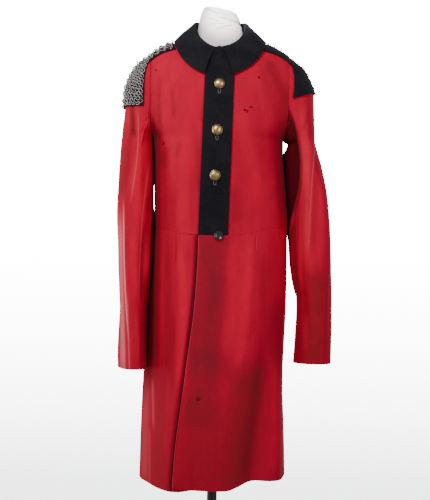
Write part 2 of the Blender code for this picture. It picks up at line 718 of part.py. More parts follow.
def make_skirt():
    over = skirt_grid(FRONT, HEM.over, wrap_edge, LEFT, columns=19)
    x, z = over[0][..., 0], over[0][..., 2]
    lapped = 1 - ramp(x - wrap_edge(z), UNDERLAP, UNDERLAP + LAP_FADE)
    near_edge = np.exp(-((x - wrap_edge(z)) / FLARE_WIDTH) ** 2)
    flare = FLARE * near_edge * (1 - ramp(z, FLARE_LOW, FLARE_HIGH))
    cloth_wall("left_front_skirt", over[0], over[1], over[2] + LAP_STEP * lapped + flare, red_cloth())

    under = skirt_grid(FRONT, HEM.under, lambda z: wrap_edge(z) + UNDERLAP, RIGHT, columns=12)
    x, z = under[0][..., 0], under[0][..., 2]
    lapped = ramp(x - wrap_edge(z), -LAP_FADE, 0)
    cloth_wall("right_front_skirt", under[0], under[1], under[2] - LAP_STEP * lapped, red_cloth())

    back = skirt_grid(BACK, HEM.back, None, LEFT, columns=20)
    cloth_wall("back_skirt", back[0], back[1], back[2], red_cloth())


def notch(side):
    """The height at which a sleeve's own seams meet the armhole."""
    heights = np.linspace(ARMPIT + 0.001, 1.30, 400)
    return float(np.interp(-SLEEVE_SEAM, -armhole_angle(side, heights), heights))


def sleeve_rows(count):
    """Places from 0 at the cuff to 1 at the top, closer together over the shoulder."""
    return 1 - (1 - np.linspace(0, 1, count + 1)) ** 1.8


def make_sleeve(side, name):
    meeting = notch(side)
    gap = SEAM_GAP / SLEEVE_RADIUS
    across = np.linspace(-1, 1, UPPER_SLEEVE_COLUMNS + 1)[None, :]
    top = meeting + (SHOULDER_POINT - SEAM_GAP - meeting) * np.sqrt(1 - across ** 2)
    z = CUFF[side] + (top - CUFF[side]) * sleeve_rows(SLEEVE_ROWS)[:, None]
    rise = np.clip((z - meeting) / (SHOULDER_POINT - SEAM_GAP - meeting), 0, 1)
    widest = np.where(z < meeting, SLEEVE_SEAM - gap, armhole_angle(side, z))
    angle = widest * across / np.maximum(np.sqrt(1 - rise ** 2), np.abs(across) + 1e-9)
    points, normals = sleeve_point(side, angle, z)
    outside = sleeve_fold(side, angle, z)
    cloth_wall(f"{name}_upper_sleeve", points, normals, outside, red_cloth())

    across = np.linspace(-1, 1, UNDER_SLEEVE_COLUMNS + 1)[None, :]
    depth = np.abs(across)
    top = ARMPIT - SEAM_GAP * 2 + (meeting - ARMPIT) * depth ** 2
    z = CUFF[side] + (top - CUFF[side]) * sleeve_rows(SLEEVE_ROWS)[:, None]
    opened = np.sqrt(np.clip((z - ARMPIT) / (meeting - ARMPIT), 0, 1))
    inmost = np.where(z > ARMPIT, armhole_angle(side, z), math.pi)
    seam = SLEEVE_SEAM + gap
    share = np.clip((1 - depth) / np.maximum(1 - opened, 1e-6), 0, 1)
    around = np.where(depth > 1 - 1e-9, seam, seam + (inmost - seam) * share)
    angle = np.where(across < 0, around, 2 * math.pi - around)
    points, normals = sleeve_point(side, angle, z)
    outside = sleeve_fold(side, angle, z)
    cloth_wall(f"{name}_under_sleeve", points, normals, outside, red_cloth())


def make_band():
    down = bodice_rows(BODICE_ROWS)[:, None]
    places = np.linspace(0, 1, BAND_COLUMNS + 1)[None, :]
    z = BAND_FOOT[0] + (NECKLINE_FRONT - BAND_FOOT[0]) * down + 0 * places
    for _ in range(3):
        x = band_edge(z, 1) + (band_edge(z, 2) - band_edge(z, 1)) * places
        z = BAND_FOOT[0] + (neckline(x, FRONT) - BAND_FOOT[0]) * down
    points, normals = body_point(x, z, FRONT)
    outside = body_fold(x, z, FRONT) + BAND_LIFT + CLOTH
    cloth_wall("front_band", points, normals, outside, black_cloth())


def collar_lines(count):
    """The collar's base, fold and edge lines, from the right leaf's front edge round to the left one's."""
    along = np.concatenate([np.linspace(0, 1, count + 1), np.linspace(1, 0, count + 1)[1:]])
    side = np.concatenate([np.full(count + 1, RIGHT), np.full(count, LEFT)])
    before = along < COLLAR_SIDE
    base_x, edge_x = side * COLLAR.base(along), side * COLLAR.edge(along)
    base = np.zeros((len(along), 3))
    base_out, edge, edge_out = base.copy(), base.copy(), base.copy()
    for face, here in ((FRONT, before), (BACK, ~before)):
        base_z = np.minimum(neckline(base_x, face), ridge(base_x))
        found = body_point(base_x, base_z, face)
        base[here], base_out[here] = found[0][here], found[1][here]
        found = body_point(edge_x, COLLAR.edge_z(along), face)
        edge[here], edge_out[here] = found[0][here], found[1][here]
    edge = edge + edge_out * COLLAR.edge_lift(along)[:, None]
    fold = np.stack([side * COLLAR.fold_x(along), COLLAR.fold_y(along), COLLAR.fold_z(along)], axis=-1)
    shift = LEAF_SHIFT * (1 - ramp(along, 0, LEAF_SHIFT_END))
    fold[:, 0] += shift
    edge[:, 0] += shift * EDGE_SHIFT_SHARE
    return along, base, base_out, fold, edge, edge_out


def make_collar():
    along, base, base_out, fold, edge, edge_out = collar_lines(COLLAR_COLUMNS)
    across = edge - fold
    flat = across * [1, 1, 0]
    flat = unit(flat + 1e-9)
    up = np.array([0, 0, 1.0])

    # The fall rolls over the fold, swells a little and comes down on the body
    inside = fold - flat * ROLL - up * ROLL * ROLL_INSIDE
    over = [inside, fold, fold + flat * ROLL - up * ROLL * ROLL_OUTSIDE]
    for share in (0.22, 0.48, 0.76, 1.0):
        start = over[2]
        swell = COLLAR_BULGE * 4 * share * (1 - share) * unit(edge_out + flat + up)
        over.append(start + (edge - start) * share + swell)
    middle = np.array(over)
    ways = np.gradient(middle, axis=0)
    turns = np.gradient(middle, axis=1)
    normals = unit(np.cross(turns, ways))
    normals = normals * np.sign((normals[3] * edge_out).sum(axis=-1))[None, :, None]
    half = COLLAR_CLOTH / 2
    wall("collar_fall", middle + normals * half, middle - normals * half, black_cloth())

    # The stand rises from the neckline to just under the roll
    lifted = base - base_out * CLOTH / 2 + unit(fold - base) * STAND_LIFT
    top = inside - up * STAND_DROP
    rows, leads = [], []
    for share in (0.0, 0.35, 0.7, 1.0):
        rows.append(lifted + (top - lifted) * share)
        leads.append(unit(base_out * (1 - share) + flat * share))
    middle, normals = np.array(rows), np.array(leads)
    half = CLOTH / 2
    wall("collar_stand", middle + normals * half, middle - normals * half, black_cloth())


def rib_points(side, along, across):
    """Points over a shoulder. Along goes from neck to arm, and across from -1 at the front edge to 1 behind."""
    patch = PATCHES[side]
    share = across ** 2
    top_z = patch.top_z(along)
    section = sleeve_section(side, top_z)
    top = np.where(top_z < SHOULDER_POINT, section.centre + section.half, body_half(side, FRONT, top_z))
    reach = top + (patch.edge(along) - top) * share
    z = top_z + (patch.edge_z(along) - top_z) * share
    front = shoulder_point(side, reach, z, FRONT)
    back = shoulder_point(side, reach, z, BACK)
    before = (across < 0)[..., None]
    crest = (across == 0)[..., None]
    points = np.where(before, front[0], back[0])
    points = np.where(crest, points * [1, 0, 1], points)
    normals = np.where(before, front[1], back[1])
    normals = np.where(crest, unit(normals * [1, 0, 1]), normals)
    return points, normals


def make_shoulder(side, name):
    alongs, acrosses = np.linspace(0, 1, PATCH_COLUMNS + 1), np.linspace(-1, 1, PATCH_ROWS + 1)
    along, across = np.meshgrid(alongs, acrosses, indexing="ij")
    points, normals = rib_points(side, along, across)
    outside = PATCH_LIFT + PATCH_CLOTH
    cloth_wall(f"{name}_shoulder_patch", points, normals, outside, black_cloth(), PATCH_CLOTH)

    front, half = MAIL_FRONT[side], PATCH_ROWS // 2 + 1
    acrosses = np.linspace(front, MAIL_BACK, half + 1)
    if front < 0:
        acrosses = np.concatenate([np.linspace(front, 0, half), np.linspace(0, MAIL_BACK, half)[1:]])
    alongs = np.linspace(MAIL_START, MAIL_END, PATCH_COLUMNS + 1)
    along, across = np.meshgrid(alongs, acrosses, indexing="ij")
    points, normals = rib_points(side, along, across)
    cloth_wall(
        f"{name}_shoulder_mail", points, normals, MAIL_LIFT + MAIL_THICKNESS, steel(), MAIL_THICKNESS
    )


def turned(name, profile, look, steps, place=(0, 0, 0), axis=(0, 0, 1)):
    """A round piece from its profile of distances and heights, which starts and ends on the axis."""
    shape = bmesh.new()
    verts = [shape.verts.new((radius, 0, height)) for radius, height in profile]
    edges = [shape.edges.new(pair) for pair in zip(verts, verts[1:])]
    bmesh.ops.spin(
        shape, geom=verts + edges, cent=(0, 0, 0), axis=(0, 0, 1), angle=math.tau, steps=steps, use_merge=True
    )
    bmesh.ops.remove_doubles(shape, verts=shape.verts, dist=1e-6)
    made = add_object(name, shape, look)
    made.rotation_mode = "QUATERNION"
    made.rotation_quaternion = Vector((0, 0, 1)).rotation_difference(Vector(axis))
    made.location = place
    return made


def make_button(name, height, across, radius, depth, look, lift, dish):
    point, normal = body_point(np.array(across), np.array(height), FRONT)
    fold = float(body_fold(np.array(across), np.array(height), FRONT))
    back = lift + fold
    rim = 0.30
    profile = [(0, 0), (radius * 0.72, 0), (radius, depth * 0.16), (radius, depth * rim)]
    if dish:
        profile += [(radius * 0.82, depth), (radius * 0.55, depth * 0.72), (0, depth * 0.62)]
    else:
        profile += [(radius * math.sqrt(1 - s ** 2), depth * (rim + (1 - rim) * s)) for s in (0.60, 0.84)]
        profile += [(0, depth)]
    turned(name, profile, look, BUTTON_SIDES, Vector(point + normal * back), Vector(normal))


def make_buttons():
    on_band = BAND_LIFT + CLOTH + SEAM_GAP
    for number, (height, across) in enumerate(BRASS_BUTTONS, 1):
        name = f"brass_button_{number}"
        make_button(name, height, across, BRASS_RADIUS, BRASS_DEPTH, brass(), on_band, False)
    make_button("black_button", *BLACK_BUTTON, BLACK_RADIUS, BLACK_DEPTH, black_gloss(), on_band, True)


def form_rings():
    """The form's torso under the coat, from its flat foot to the neck."""
    turn = np.linspace(0, math.pi / 2, 8)
    rings = []
    for height in FORM_HEIGHTS:
        ring = []
        for face, side, order in ((FRONT, LEFT, 1), (BACK, LEFT, -1), (BACK, RIGHT, 1), (FRONT, RIGHT, -1)):
            z = np.full(turn.shape, height)
            power = 2 / BODY.roundness(z)
            x = side * body_half(side, face, z) * np.sin(turn) ** power
            points, normals = body_point(x, z, face)
            near_neck = (1 - ramp(np.abs(x), 0.066, 0.086)) * ramp(z, 1.34, 1.375)
            clearance = FORM_CLEARANCE.clearance(z) + NECK_CLEARANCE * near_neck
            points = points - normals * (CLOTH + clearance)[:, None]
            reach = np.maximum(np.abs(points[:, 0]), 1e-6)
            power = FORM_SQUARENESS
            points[:, 0] = side * (reach ** -power + FORM_WIDEST ** -power) ** (-1 / power)
            points[np.sin(turn) < 1e-6, 0] = 0
            points[np.cos(turn) < 1e-6, 1] = 0
            ring.append((points if order == 1 else points[::-1])[:-1])
        rings.append(np.concatenate(ring))
    return rings


def closed_rings(name, rings, look):
    """A solid through rings of points, with a flat cap on each end."""
    shape = bmesh.new()
    loops = [[shape.verts.new(Vector(point)) for point in ring] for ring in rings]
    for low, high in zip(loops, loops[1:]):
        for j in range(len(low)):
            k = (j + 1) % len(low)
            shape.faces.new((low[j], low[k], high[k], high[j]))
    shape.faces.new(loops[0])
    shape.faces.new(loops[-1])
    return add_object(name, shape, look)


def make_form():
    rings = form_rings()
    for ring, level in ((rings[0], FORM_FOOT), (rings[-1], FORM_TOP)):
        ring[:, 2] = level
    closed_rings("form_torso", rings, form_cover())

    turn = np.linspace(0, math.tau, NECK_SIDES + 1)[:-1]
    rings = []
    for height, radius in NECK_PROFILE:
        x, y = radius * np.cos(turn), NECK_FLATNESS * radius * np.sin(turn)
        slope = (height - NECK_PROFILE[0][0]) / (NECK_PROFILE[-1][0] - NECK_PROFILE[0][0])
        rings.append(np.stack([x, y, height - NECK_SLANT * x * slope], axis=-1))
    closed_rings("form_neck", rings, form_cover())


def make_stand():
    pole_foot = BOSS_HEIGHT - SOCKET_DEPTH
    turned("stand_pole", [
        (0, pole_foot + SEAM_GAP), (POLE_RADIUS, pole_foot + SEAM_GAP),
        (POLE_RADIUS, FORM_FOOT - SEAM_GAP), (0, FORM_FOOT - SEAM_GAP),
    ], stand_paint(), POLE_SIDES)
    socket = POLE_RADIUS + SEAM_GAP
    turned("stand_base", [
        (0, 0), (BASE_RADIUS, 0),
        (BASE_RADIUS, BASE_HEIGHT - BASE_BEVEL), (BASE_RADIUS - BASE_BEVEL, BASE_HEIGHT),
        (BOSS_RADIUS + BOSS_FILLET, BASE_HEIGHT), (BOSS_RADIUS, BASE_HEIGHT + BOSS_FILLET),
        (BOSS_RADIUS, BOSS_HEIGHT - BOSS_BEVEL), (BOSS_RADIUS - BOSS_BEVEL, BOSS_HEIGHT),
        (socket, BOSS_HEIGHT), (socket, pole_foot), (0, pole_foot),
    ], stand_paint(), BASE_SIDES)


def main():
    for old in list(bpy.data.objects):
        bpy.data.objects.remove(old)
    make_bodice()
    make_skirt()
    make_sleeve(RIGHT, "right")
    make_sleeve(LEFT, "left")
    make_band()
    make_collar()
    make_shoulder(RIGHT, "right")
    make_shoulder(LEFT, "left")
    make_buttons()
    make_form()
    make_stand()


main()
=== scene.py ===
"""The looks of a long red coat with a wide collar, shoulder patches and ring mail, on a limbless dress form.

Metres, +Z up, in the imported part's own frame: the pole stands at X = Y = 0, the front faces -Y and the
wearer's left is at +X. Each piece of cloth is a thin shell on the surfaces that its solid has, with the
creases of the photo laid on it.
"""

import math
from types import SimpleNamespace

import bpy
import numpy as np
from mathutils import Matrix, Vector


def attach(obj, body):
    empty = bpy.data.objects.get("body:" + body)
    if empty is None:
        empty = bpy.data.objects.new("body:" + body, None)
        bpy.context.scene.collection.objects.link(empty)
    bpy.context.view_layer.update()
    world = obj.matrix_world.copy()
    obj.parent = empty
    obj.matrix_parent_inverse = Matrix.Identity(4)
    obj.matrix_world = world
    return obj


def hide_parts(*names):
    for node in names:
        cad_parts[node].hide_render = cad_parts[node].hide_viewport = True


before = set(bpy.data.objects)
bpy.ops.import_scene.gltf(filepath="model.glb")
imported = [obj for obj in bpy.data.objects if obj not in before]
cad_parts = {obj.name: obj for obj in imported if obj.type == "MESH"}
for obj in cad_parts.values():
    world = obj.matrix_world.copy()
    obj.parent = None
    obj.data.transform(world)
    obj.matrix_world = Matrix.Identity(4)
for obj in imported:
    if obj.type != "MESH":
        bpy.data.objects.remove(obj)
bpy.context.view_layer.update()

# The surfaces of the coat, the same as the solids'
CLOTH = 0.0020
SEAM_GAP = 0.0003
FRONT, BACK = -1, 1
RIGHT, LEFT = -1, 1

# Heights of the coat's main lines
MEAN_HEM = 0.455
SIDE_WAIST = 1.000
ARMPIT = 1.197
NECKLINE_SIDE = 1.420
NECKLINE_FRONT = 1.374
NECKLINE_BACK = 1.408
NECK_REACH = 0.064
ARMHOLE_TOP = 0.150


def curve(places, values):
    """A smooth curve through the rows of a table that doesn't overshoot between them."""
    places, values = np.asarray(places, float), np.asarray(values, float)
    steps = np.diff(places)
    slopes = np.diff(values) / steps
    tangents = np.zeros_like(values)
    tangents[0], tangents[-1] = slopes[0], slopes[-1]
    before, after = slopes[:-1], slopes[1:]
    same_way = before * after > 0
    weight_1, weight_2 = 2 * steps[1:] + steps[:-1], steps[1:] + 2 * steps[:-1]
    shared = weight_1 / np.where(same_way, before, 1) + weight_2 / np.where(same_way, after, 1)
    tangents[1:-1] = np.where(same_way, (weight_1 + weight_2) / np.where(same_way, shared, 1), 0)

    def at(place):
        place = np.clip(place, places[0], places[-1])
        i = np.clip(np.searchsorted(places, place, side="right") - 1, 0, len(steps) - 1)
        t = (place - places[i]) / steps[i]
        return (
            values[i] * (1 + 2 * t) * (1 - t) ** 2
            + values[i + 1] * t * t * (3 - 2 * t)
            + steps[i] * (tangents[i] * t * (1 - t) ** 2 - tangents[i + 1] * t * t * (1 - t))
        )

    return at


def table(names, rows):
    """A table as smooth curves, one for each named column after the first, over the first."""
    columns = np.array(rows, float).T
    return SimpleNamespace(**{
        name: curve(columns[0], column) for name, column in zip(names.split()[1:], columns[1:])
    })


# The waist seam's height across the coat
WAIST = table("across front back", [
    (-0.136, 1.0015, 1.0015),
    (-0.121, 0.9990, 1.0005),
    (-0.096, 0.9934, 1.0000),
    (-0.083, 0.9888, 1.0000),
    (-0.042, 0.9868, 1.0000),
    (0.000, 0.9860, 1.0000),
    (0.045, 0.9880, 1.0005),
    (0.070, 0.9910, 1.0015),
    (0.100, 1.0010, 1.0030),
    (0.126, 1.0060, 1.0050),
    (0.155, 1.0080, 1.0080),
])

# The hem's height across the coat: the front underneath, the front that wraps over it, and the back
HEM = table("across under over back", [
    (-0.1615, 0.4602, 0.4602, 0.4602),
    (-0.1540, 0.4585, 0.4600, 0.4608),
    (-0.1330, 0.4523, 0.4600, 0.4620),
    (-0.1100, 0.4468, 0.4595, 0.4626),
    (-0.0880, 0.4437, 0.4576, 0.4630),
    (-0.0730, 0.4440, 0.4502, 0.4633),
    (-0.0420, 0.4490, 0.4494, 0.4636),
    (0.0000, 0.4500, 0.4488, 0.4640),
    (0.0295, 0.4500, 0.4494, 0.4645),
    (0.0490, 0.4500, 0.4545, 0.4650),
    (0.0850, 0.4500, 0.4640, 0.4660),
    (0.1020, 0.4500, 0.4668, 0.4670),
    (0.1280, 0.4500, 0.4645, 0.4685),
    (0.1420, 0.4500, 0.4640, 0.4700),
    (0.1530, 0.4500, 0.4662, 0.4712),
    (0.1615, 0.4500, 0.4718, 0.4718),
])

# The body from the hem to the neck: how far it reaches to each side, and its depth before and behind the pole
BODY = table("height right left front back roundness", [
    (0.440, 0.1612, 0.1612, 0.136, 0.134, 2.30),
    (0.550, 0.1590, 0.1560, 0.133, 0.131, 2.30),
    (0.670, 0.1560, 0.1500, 0.128, 0.127, 2.30),
    (0.760, 0.1520, 0.1525, 0.123, 0.121, 2.30),
    (0.845, 0.1480, 0.1555, 0.118, 0.115, 2.30),
    (0.930, 0.1410, 0.1560, 0.112, 0.106, 2.30),
    (1.000, 0.1365, 0.1553, 0.1085, 0.100, 2.30),
    (1.040, 0.1370, 0.1535, 0.1095, 0.100, 2.30),
    (1.080, 0.1385, 0.1498, 0.1125, 0.103, 2.32),
    (1.120, 0.1387, 0.1460, 0.117, 0.107, 2.35),
    (1.160, 0.1390, 0.1425, 0.121, 0.111, 2.35),
    (1.197, 0.1425, 0.1425, 0.123, 0.113, 2.35),
    (1.250, 0.1480, 0.1480, 0.120, 0.112, 2.30),
    (1.300, 0.1500, 0.1500, 0.113, 0.107, 2.20),
    (1.340, 0.1500, 0.1500, 0.103, 0.098, 2.10),
    (1.375, 0.1500, 0.1500, 0.089, 0.083, 2.02),
    (1.392, 0.1400, 0.1400, 0.080, 0.073, 2.00),
    (1.406, 0.1000, 0.1000, 0.0725, 0.0655, 2.00),
    (1.430, 0.0500, 0.0500, 0.057, 0.052, 2.00),
])

# The slope of the shoulder, from the side of the neck down over the head of the sleeve, which starts at
# HEAD_FOOT
HEAD_FOOT = 1.299
SHOULDER = table("height right left", [
    (1.250, 0.2070, 0.2100),
    (1.299, 0.2050, 0.2080),
    (1.331, 0.1942, 0.1960),
    (1.355, 0.1805, 0.1815),
    (1.3655, 0.1680, 0.1685),
    (1.3755, 0.1545, 0.1545),
    (1.3845, 0.1440, 0.1440),
    (1.3920, 0.1325, 0.1325),
    (1.3985, 0.1195, 0.1195),
    (1.4058, 0.1005, 0.1005),
    (1.4145, 0.0795, 0.0795),
    (1.4215, 0.0600, 0.0600),
    (1.4300, 0.0350, 0.0350),
])

# Where the armhole seam stands, as a distance from the middle
ARMHOLE = table("height reach", [
    (1.197, 0.1425),
    (1.215, 0.1450),
    (1.250, 0.1480),
    (1.300, 0.1490),
    (1.390, ARMHOLE_TOP),
])
DEEPEST_SHARE = 0.97

# Each sleeve from cuff to shoulder. Above the armpit the inner side lies inside the body, where the armhole
# cuts it off. Lean is how far the section slides inward for each metre that it goes back.
SLEEVES = {
    RIGHT: table("height outer inner front back middle lean", [
        (0.690, 0.2065, 0.1490, 0.056, 0.056, -0.062, -0.20),
        (0.735, 0.2068, 0.1490, 0.057, 0.057, -0.059, -0.20),
        (0.775, 0.2070, 0.1515, 0.058, 0.058, -0.055, -0.14),
        (0.820, 0.2065, 0.1535, 0.060, 0.060, -0.050, -0.04),
        (0.870, 0.2060, 0.1545, 0.062, 0.062, -0.043, 0.06),
        (0.930, 0.2085, 0.1530, 0.064, 0.064, -0.034, 0.10),
        (0.975, 0.2110, 0.1495, 0.065, 0.065, -0.027, 0.08),
        (1.030, 0.2142, 0.1455, 0.066, 0.066, -0.020, 0.05),
        (1.070, 0.2155, 0.1445, 0.067, 0.067, -0.016, 0.03),
        (1.120, 0.2170, 0.1442, 0.067, 0.067, -0.012, 0.01),
        (1.160, 0.2158, 0.1445, 0.066, 0.066, -0.008, 0.00),
        (1.185, 0.2140, 0.1455, 0.064, 0.064, -0.006, 0.00),
        (1.197, 0.2128, 0.1425, 0.063, 0.063, -0.005, 0.00),
        (1.215, 0.2112, 0.1300, 0.066, 0.066, -0.004, 0.00),
        (1.250, 0.2070, 0.1000, 0.071, 0.070, -0.002, 0.00),
        (1.300, 0.2050, 0.0500, 0.072, 0.070, 0.000, 0.00),
        (1.340, 0.1920, 0.0000, 0.064, 0.063, 0.000, 0.00),
        (1.360, 0.1750, -0.020, 0.055, 0.055, 0.000, 0.00),
        (1.385, 0.1500, -0.050, 0.038, 0.038, 0.000, 0.00),
    ]),
    LEFT: table("height outer inner front back middle lean", [
        (0.705, 0.2530, 0.1712, 0.050, 0.050, -0.026, 0.05),
        (0.745, 0.2530, 0.1734, 0.052, 0.052, -0.026, 0.05),
        (0.790, 0.2527, 0.1760, 0.054, 0.054, -0.025, 0.05),
        (0.830, 0.2522, 0.1780, 0.055, 0.055, -0.024, 0.06),
        (0.855, 0.2518, 0.1775, 0.056, 0.056, -0.023, 0.08),
        (0.870, 0.2515, 0.1726, 0.057, 0.057, -0.022, 0.10),
        (0.900, 0.2503, 0.1665, 0.058, 0.058, -0.021, 0.14),
        (0.935, 0.2488, 0.1622, 0.060, 0.060, -0.019, 0.18),
        (0.990, 0.2452, 0.1600, 0.062, 0.062, -0.016, 0.22),
        (1.040, 0.2400, 0.1585, 0.064, 0.064, -0.014, 0.24),
        (1.080, 0.2355, 0.1550, 0.065, 0.065, -0.012, 0.22),
        (1.110, 0.2306, 0.1520, 0.066, 0.066, -0.010, 0.18),
        (1.160, 0.2210, 0.1475, 0.065, 0.065, -0.008, 0.08),
        (1.172, 0.2180, 0.1472, 0.064, 0.064, -0.007, 0.04),
        (1.182, 0.2155, 0.1510, 0.063, 0.063, -0.006, 0.02),
        (1.190, 0.2135, 0.1530, 0.062, 0.062, -0.005, 0.00),
        (1.197, 0.2120, 0.1425, 0.062, 0.062, -0.005, 0.00),
        (1.215, 0.2108, 0.1300, 0.066, 0.066, -0.004, 0.00),
        (1.250, 0.2100, 0.1000, 0.071, 0.070, -0.002, 0.00),
        (1.300, 0.2080, 0.0500, 0.072, 0.070, 0.000, 0.00),
        (1.340, 0.1920, 0.0000, 0.064, 0.063, 0.000, 0.00),
        (1.360, 0.1750, -0.020, 0.055, 0.055, 0.000, 0.00),
        (1.385, 0.1500, -0.050, 0.038, 0.038, 0.000, 0.00),
    ]),
}
SLEEVE_ROUNDNESS = 2.25
CUFF = {RIGHT: 0.699, LEFT: 0.7135}
SLEEVE_SEAM = math.radians(110)
SLEEVE_RADIUS = 0.060

# Soft folds of the body. Angles are degrees from the front, plus to the left, drift is degrees a metre, and
# rise is how far down a fold takes to reach its full height
BODY_FOLDS = [
    # angle, low, high, width, height, drift, rise
    (-34, 0.40, 0.99, 9, 0.0030, -12, 0.12),
    (-62, 0.40, 0.93, 10, -0.0030, -10, 0.12),
    (-16, 0.40, 0.80, 8, -0.0020, -8, 0.12),
    (10, 0.40, 0.90, 10, 0.0022, 6, 0.12),
    (58, 0.40, 0.87, 13, -0.0260, 68, 0.42),
    (33, 0.60, 1.00, 9, 0.0030, 30, 0.12),
    (72, 0.40, 0.80, 9, 0.0030, 40, 0.20),
    (115, 0.40, 0.95, 12, 0.0050, 0, 0.12),
    (137, 0.40, 0.97, 10, -0.0050, 0, 0.12),
    (158, 0.40, 0.98, 11, 0.0050, 6, 0.12),
    (180, 0.40, 0.98, 10, -0.0040, 0, 0.12),
    (-158, 0.40, 0.98, 11, 0.0050, -6, 0.12),
    (-137, 0.40, 0.97, 10, -0.0050, 0, 0.12),
    (-115, 0.40, 0.95, 12, 0.0050, 0, 0.12),
    (-48, 1.00, 1.17, 9, 0.0022, 30, 0.12),
    (52, 1.00, 1.18, 9, 0.0026, -30, 0.12),
]
FOLD_FOOT_FADE = 0.05
# Ridges (plus) and troughs (minus) along the sleeves, in degrees round from the outer side, 90 at the front
SLEEVE_FOLDS = {
    RIGHT: [
        # low height, low angle, high height, high angle, width, height
        (0.70, 52, 1.08, 20, 15, 0.0030),
        (0.80, 92, 1.17, 78, 12, -0.0026),
        (0.86, 128, 1.15, 106, 12, 0.0028),
        (0.70, -60, 1.12, -40, 18, 0.0030),
        (0.75, -105, 1.10, -90, 14, -0.0028),
    ],
    LEFT: [
        (0.84, 88, 1.18, 70, 11, 0.0030),
        (0.74, 40, 1.15, 30, 16, -0.0022),
        (0.78, 124, 1.15, 112, 13, 0.0026),
        (0.72, -50, 1.12, -45, 18, 0.0030),
        (0.75, -100, 1.10, -85, 14, -0.0028),
    ],
}
# The shares of a sleeve fold's length between which it rises and fades
SLEEVE_FOLD_RISE = (-0.15, 0.15)
SLEEVE_FOLD_FADE = (0.80, 1.10)

# The black band down the front, at its top and at the waist
BAND_TOP = (1.325, -0.0310, 0.0310)
BAND_FOOT = (0.987, -0.0390, 0.0235)
BAND_LIFT = 0.0008

# The wrap-over edge of the left skirt front: where it is across the coat, by height
WRAP = table("z across", [
    (0.447, -0.0843),
    (0.535, -0.0742),
    (0.575, -0.0703),
    (0.701, -0.0600),
    (0.811, -0.0507),
    (0.866, -0.0460),
    (0.928, -0.0422),
    (0.986, -0.0390),
])
UNDERLAP = 0.060
LAP_STEP = 0.0014
LAP_FADE = 0.040
FLARE, FLARE_WIDTH = 0.0020, 0.020
FLARE_LOW, FLARE_HIGH = 0.60, 0.95

# The collar from the front edge of a leaf round to the middle of the back. Base is where the stand meets
# the neckline, fold the highest line of the roll, and edge the outer edge, which lies on the body.
COLLAR = table("along base fold_x fold_y fold_z edge edge_z edge_lift", [
    (0.00, 0.0030, 0.0050, -0.0850, 1.3885, 0.0290, 1.3260, 0.0058),
    (0.12, 0.0220, 0.0210, -0.0810, 1.3935, 0.0490, 1.3360, 0.0034),
    (0.25, 0.0400, 0.0360, -0.0680, 1.4040, 0.0690, 1.3500, 0.0030),
    (0.38, 0.0530, 0.0475, -0.0470, 1.4200, 0.0857, 1.3706, 0.0030),
    (0.48, 0.0610, 0.0550, -0.0220, 1.4400, 0.0960, 1.3940, 0.0042),
    (0.56, 0.0640, 0.0580, 0.0020, 1.4530, 0.0990, 1.4064, 0.0042),
    (0.68, 0.0600, 0.0550, 0.0270, 1.4590, 0.0980, 1.3990, 0.0042),
    (0.80, 0.0450, 0.0420, 0.0460, 1.4620, 0.0820, 1.3850, 0.0032),
    (0.90, 0.0240, 0.0220, 0.0560, 1.4635, 0.0460, 1.3780, 0.0030),
    (1.00, 0.0000, 0.0000, 0.0590, 1.4640, 0.0000, 1.3760, 0.0030),
])
COLLAR_SIDE = 0.56
LEAF_SHIFT = -0.0025
LEAF_SHIFT_END = 0.30
EDGE_SHIFT_SHARE = 0.60
COLLAR_BULGE = 0.0062
ROLL = 0.0032
ROLL_INSIDE, ROLL_OUTSIDE = 1.5, 0.9
COLLAR_CLOTH = 0.0022
STAND_LIFT = 0.0017
STAND_DROP = 0.0012

# The shoulder patches. Each rib runs from a point on the front edge up to the top of the shoulder and down
# to the same point behind.
PATCHES = {
    RIGHT: table("along edge edge_z top_z", [
        (0.00, 0.1045, 1.3825, 1.4042),
        (0.20, 0.1220, 1.3780, 1.3972),
        (0.40, 0.1440, 1.3670, 1.3850),
        (0.55, 0.1570, 1.3510, 1.3710),
        (0.70, 0.1605, 1.3260, 1.3500),
        (0.85, 0.1612, 1.2960, 1.3120),
        (1.00, 0.1612, 1.2620, 1.2620),
    ]),
    LEFT: table("along edge edge_z top_z", [
        (0.00, 0.1045, 1.3825, 1.4042),
        (0.20, 0.1220, 1.3780, 1.3972),
        (0.40, 0.1440, 1.3670, 1.3850),
        (0.55, 0.1570, 1.3520, 1.3720),
        (0.70, 0.1605, 1.3310, 1.3560),
        (0.85, 0.1605, 1.3090, 1.3340),
        (1.00, 0.1580, 1.2830, 1.3010),
    ]),
}
PATCH_LIFT = 0.0014
PATCH_CLOTH = 0.0018
MAIL_LIFT = PATCH_LIFT + PATCH_CLOTH + 0.0008
MAIL_THICKNESS = 0.0024
MAIL_END = 0.985
MAIL_FRONT = {RIGHT: -0.93, LEFT: 0.04}
MAIL_BACK = 0.97

# Buttons: height on the front, distance from the middle, radius and depth
BRASS_BUTTONS = [(1.3060, 0.0000), (1.2076, -0.0030), (1.1127, -0.0060)]
BRASS_RADIUS, BRASS_DEPTH = 0.0115, 0.0085
BLACK_BUTTON = (0.9860, 0.0040)
BLACK_RADIUS, BLACK_DEPTH = 0.0098, 0.0050

# The dress form's neck
NECK_FLATNESS = 0.98
NECK_PROFILE = [(1.4263, 0.0515), (1.4360, 0.0495), (1.4520, 0.0465), (1.4680, 0.0420), (1.4790, 0.0370)]
NECK_RIPPLE_REACH = 0.05
NECK_SLANT = 0.20
NECK_RINGS, NECK_SIDES = 46, 96
# How the neck turns over at its top: rings as shares of its radius, and how high they are above it
NECK_TOP = [(0.985, 0.0008), (0.95, 0.0018), (0.85, 0.0022), (0.6, 0.0020), (0.3, 0.0022), (0.12, 0.0022)]


def unit(vectors):
    return vectors / np.maximum(np.linalg.norm(vectors, axis=-1, keepdims=True), 1e-12)


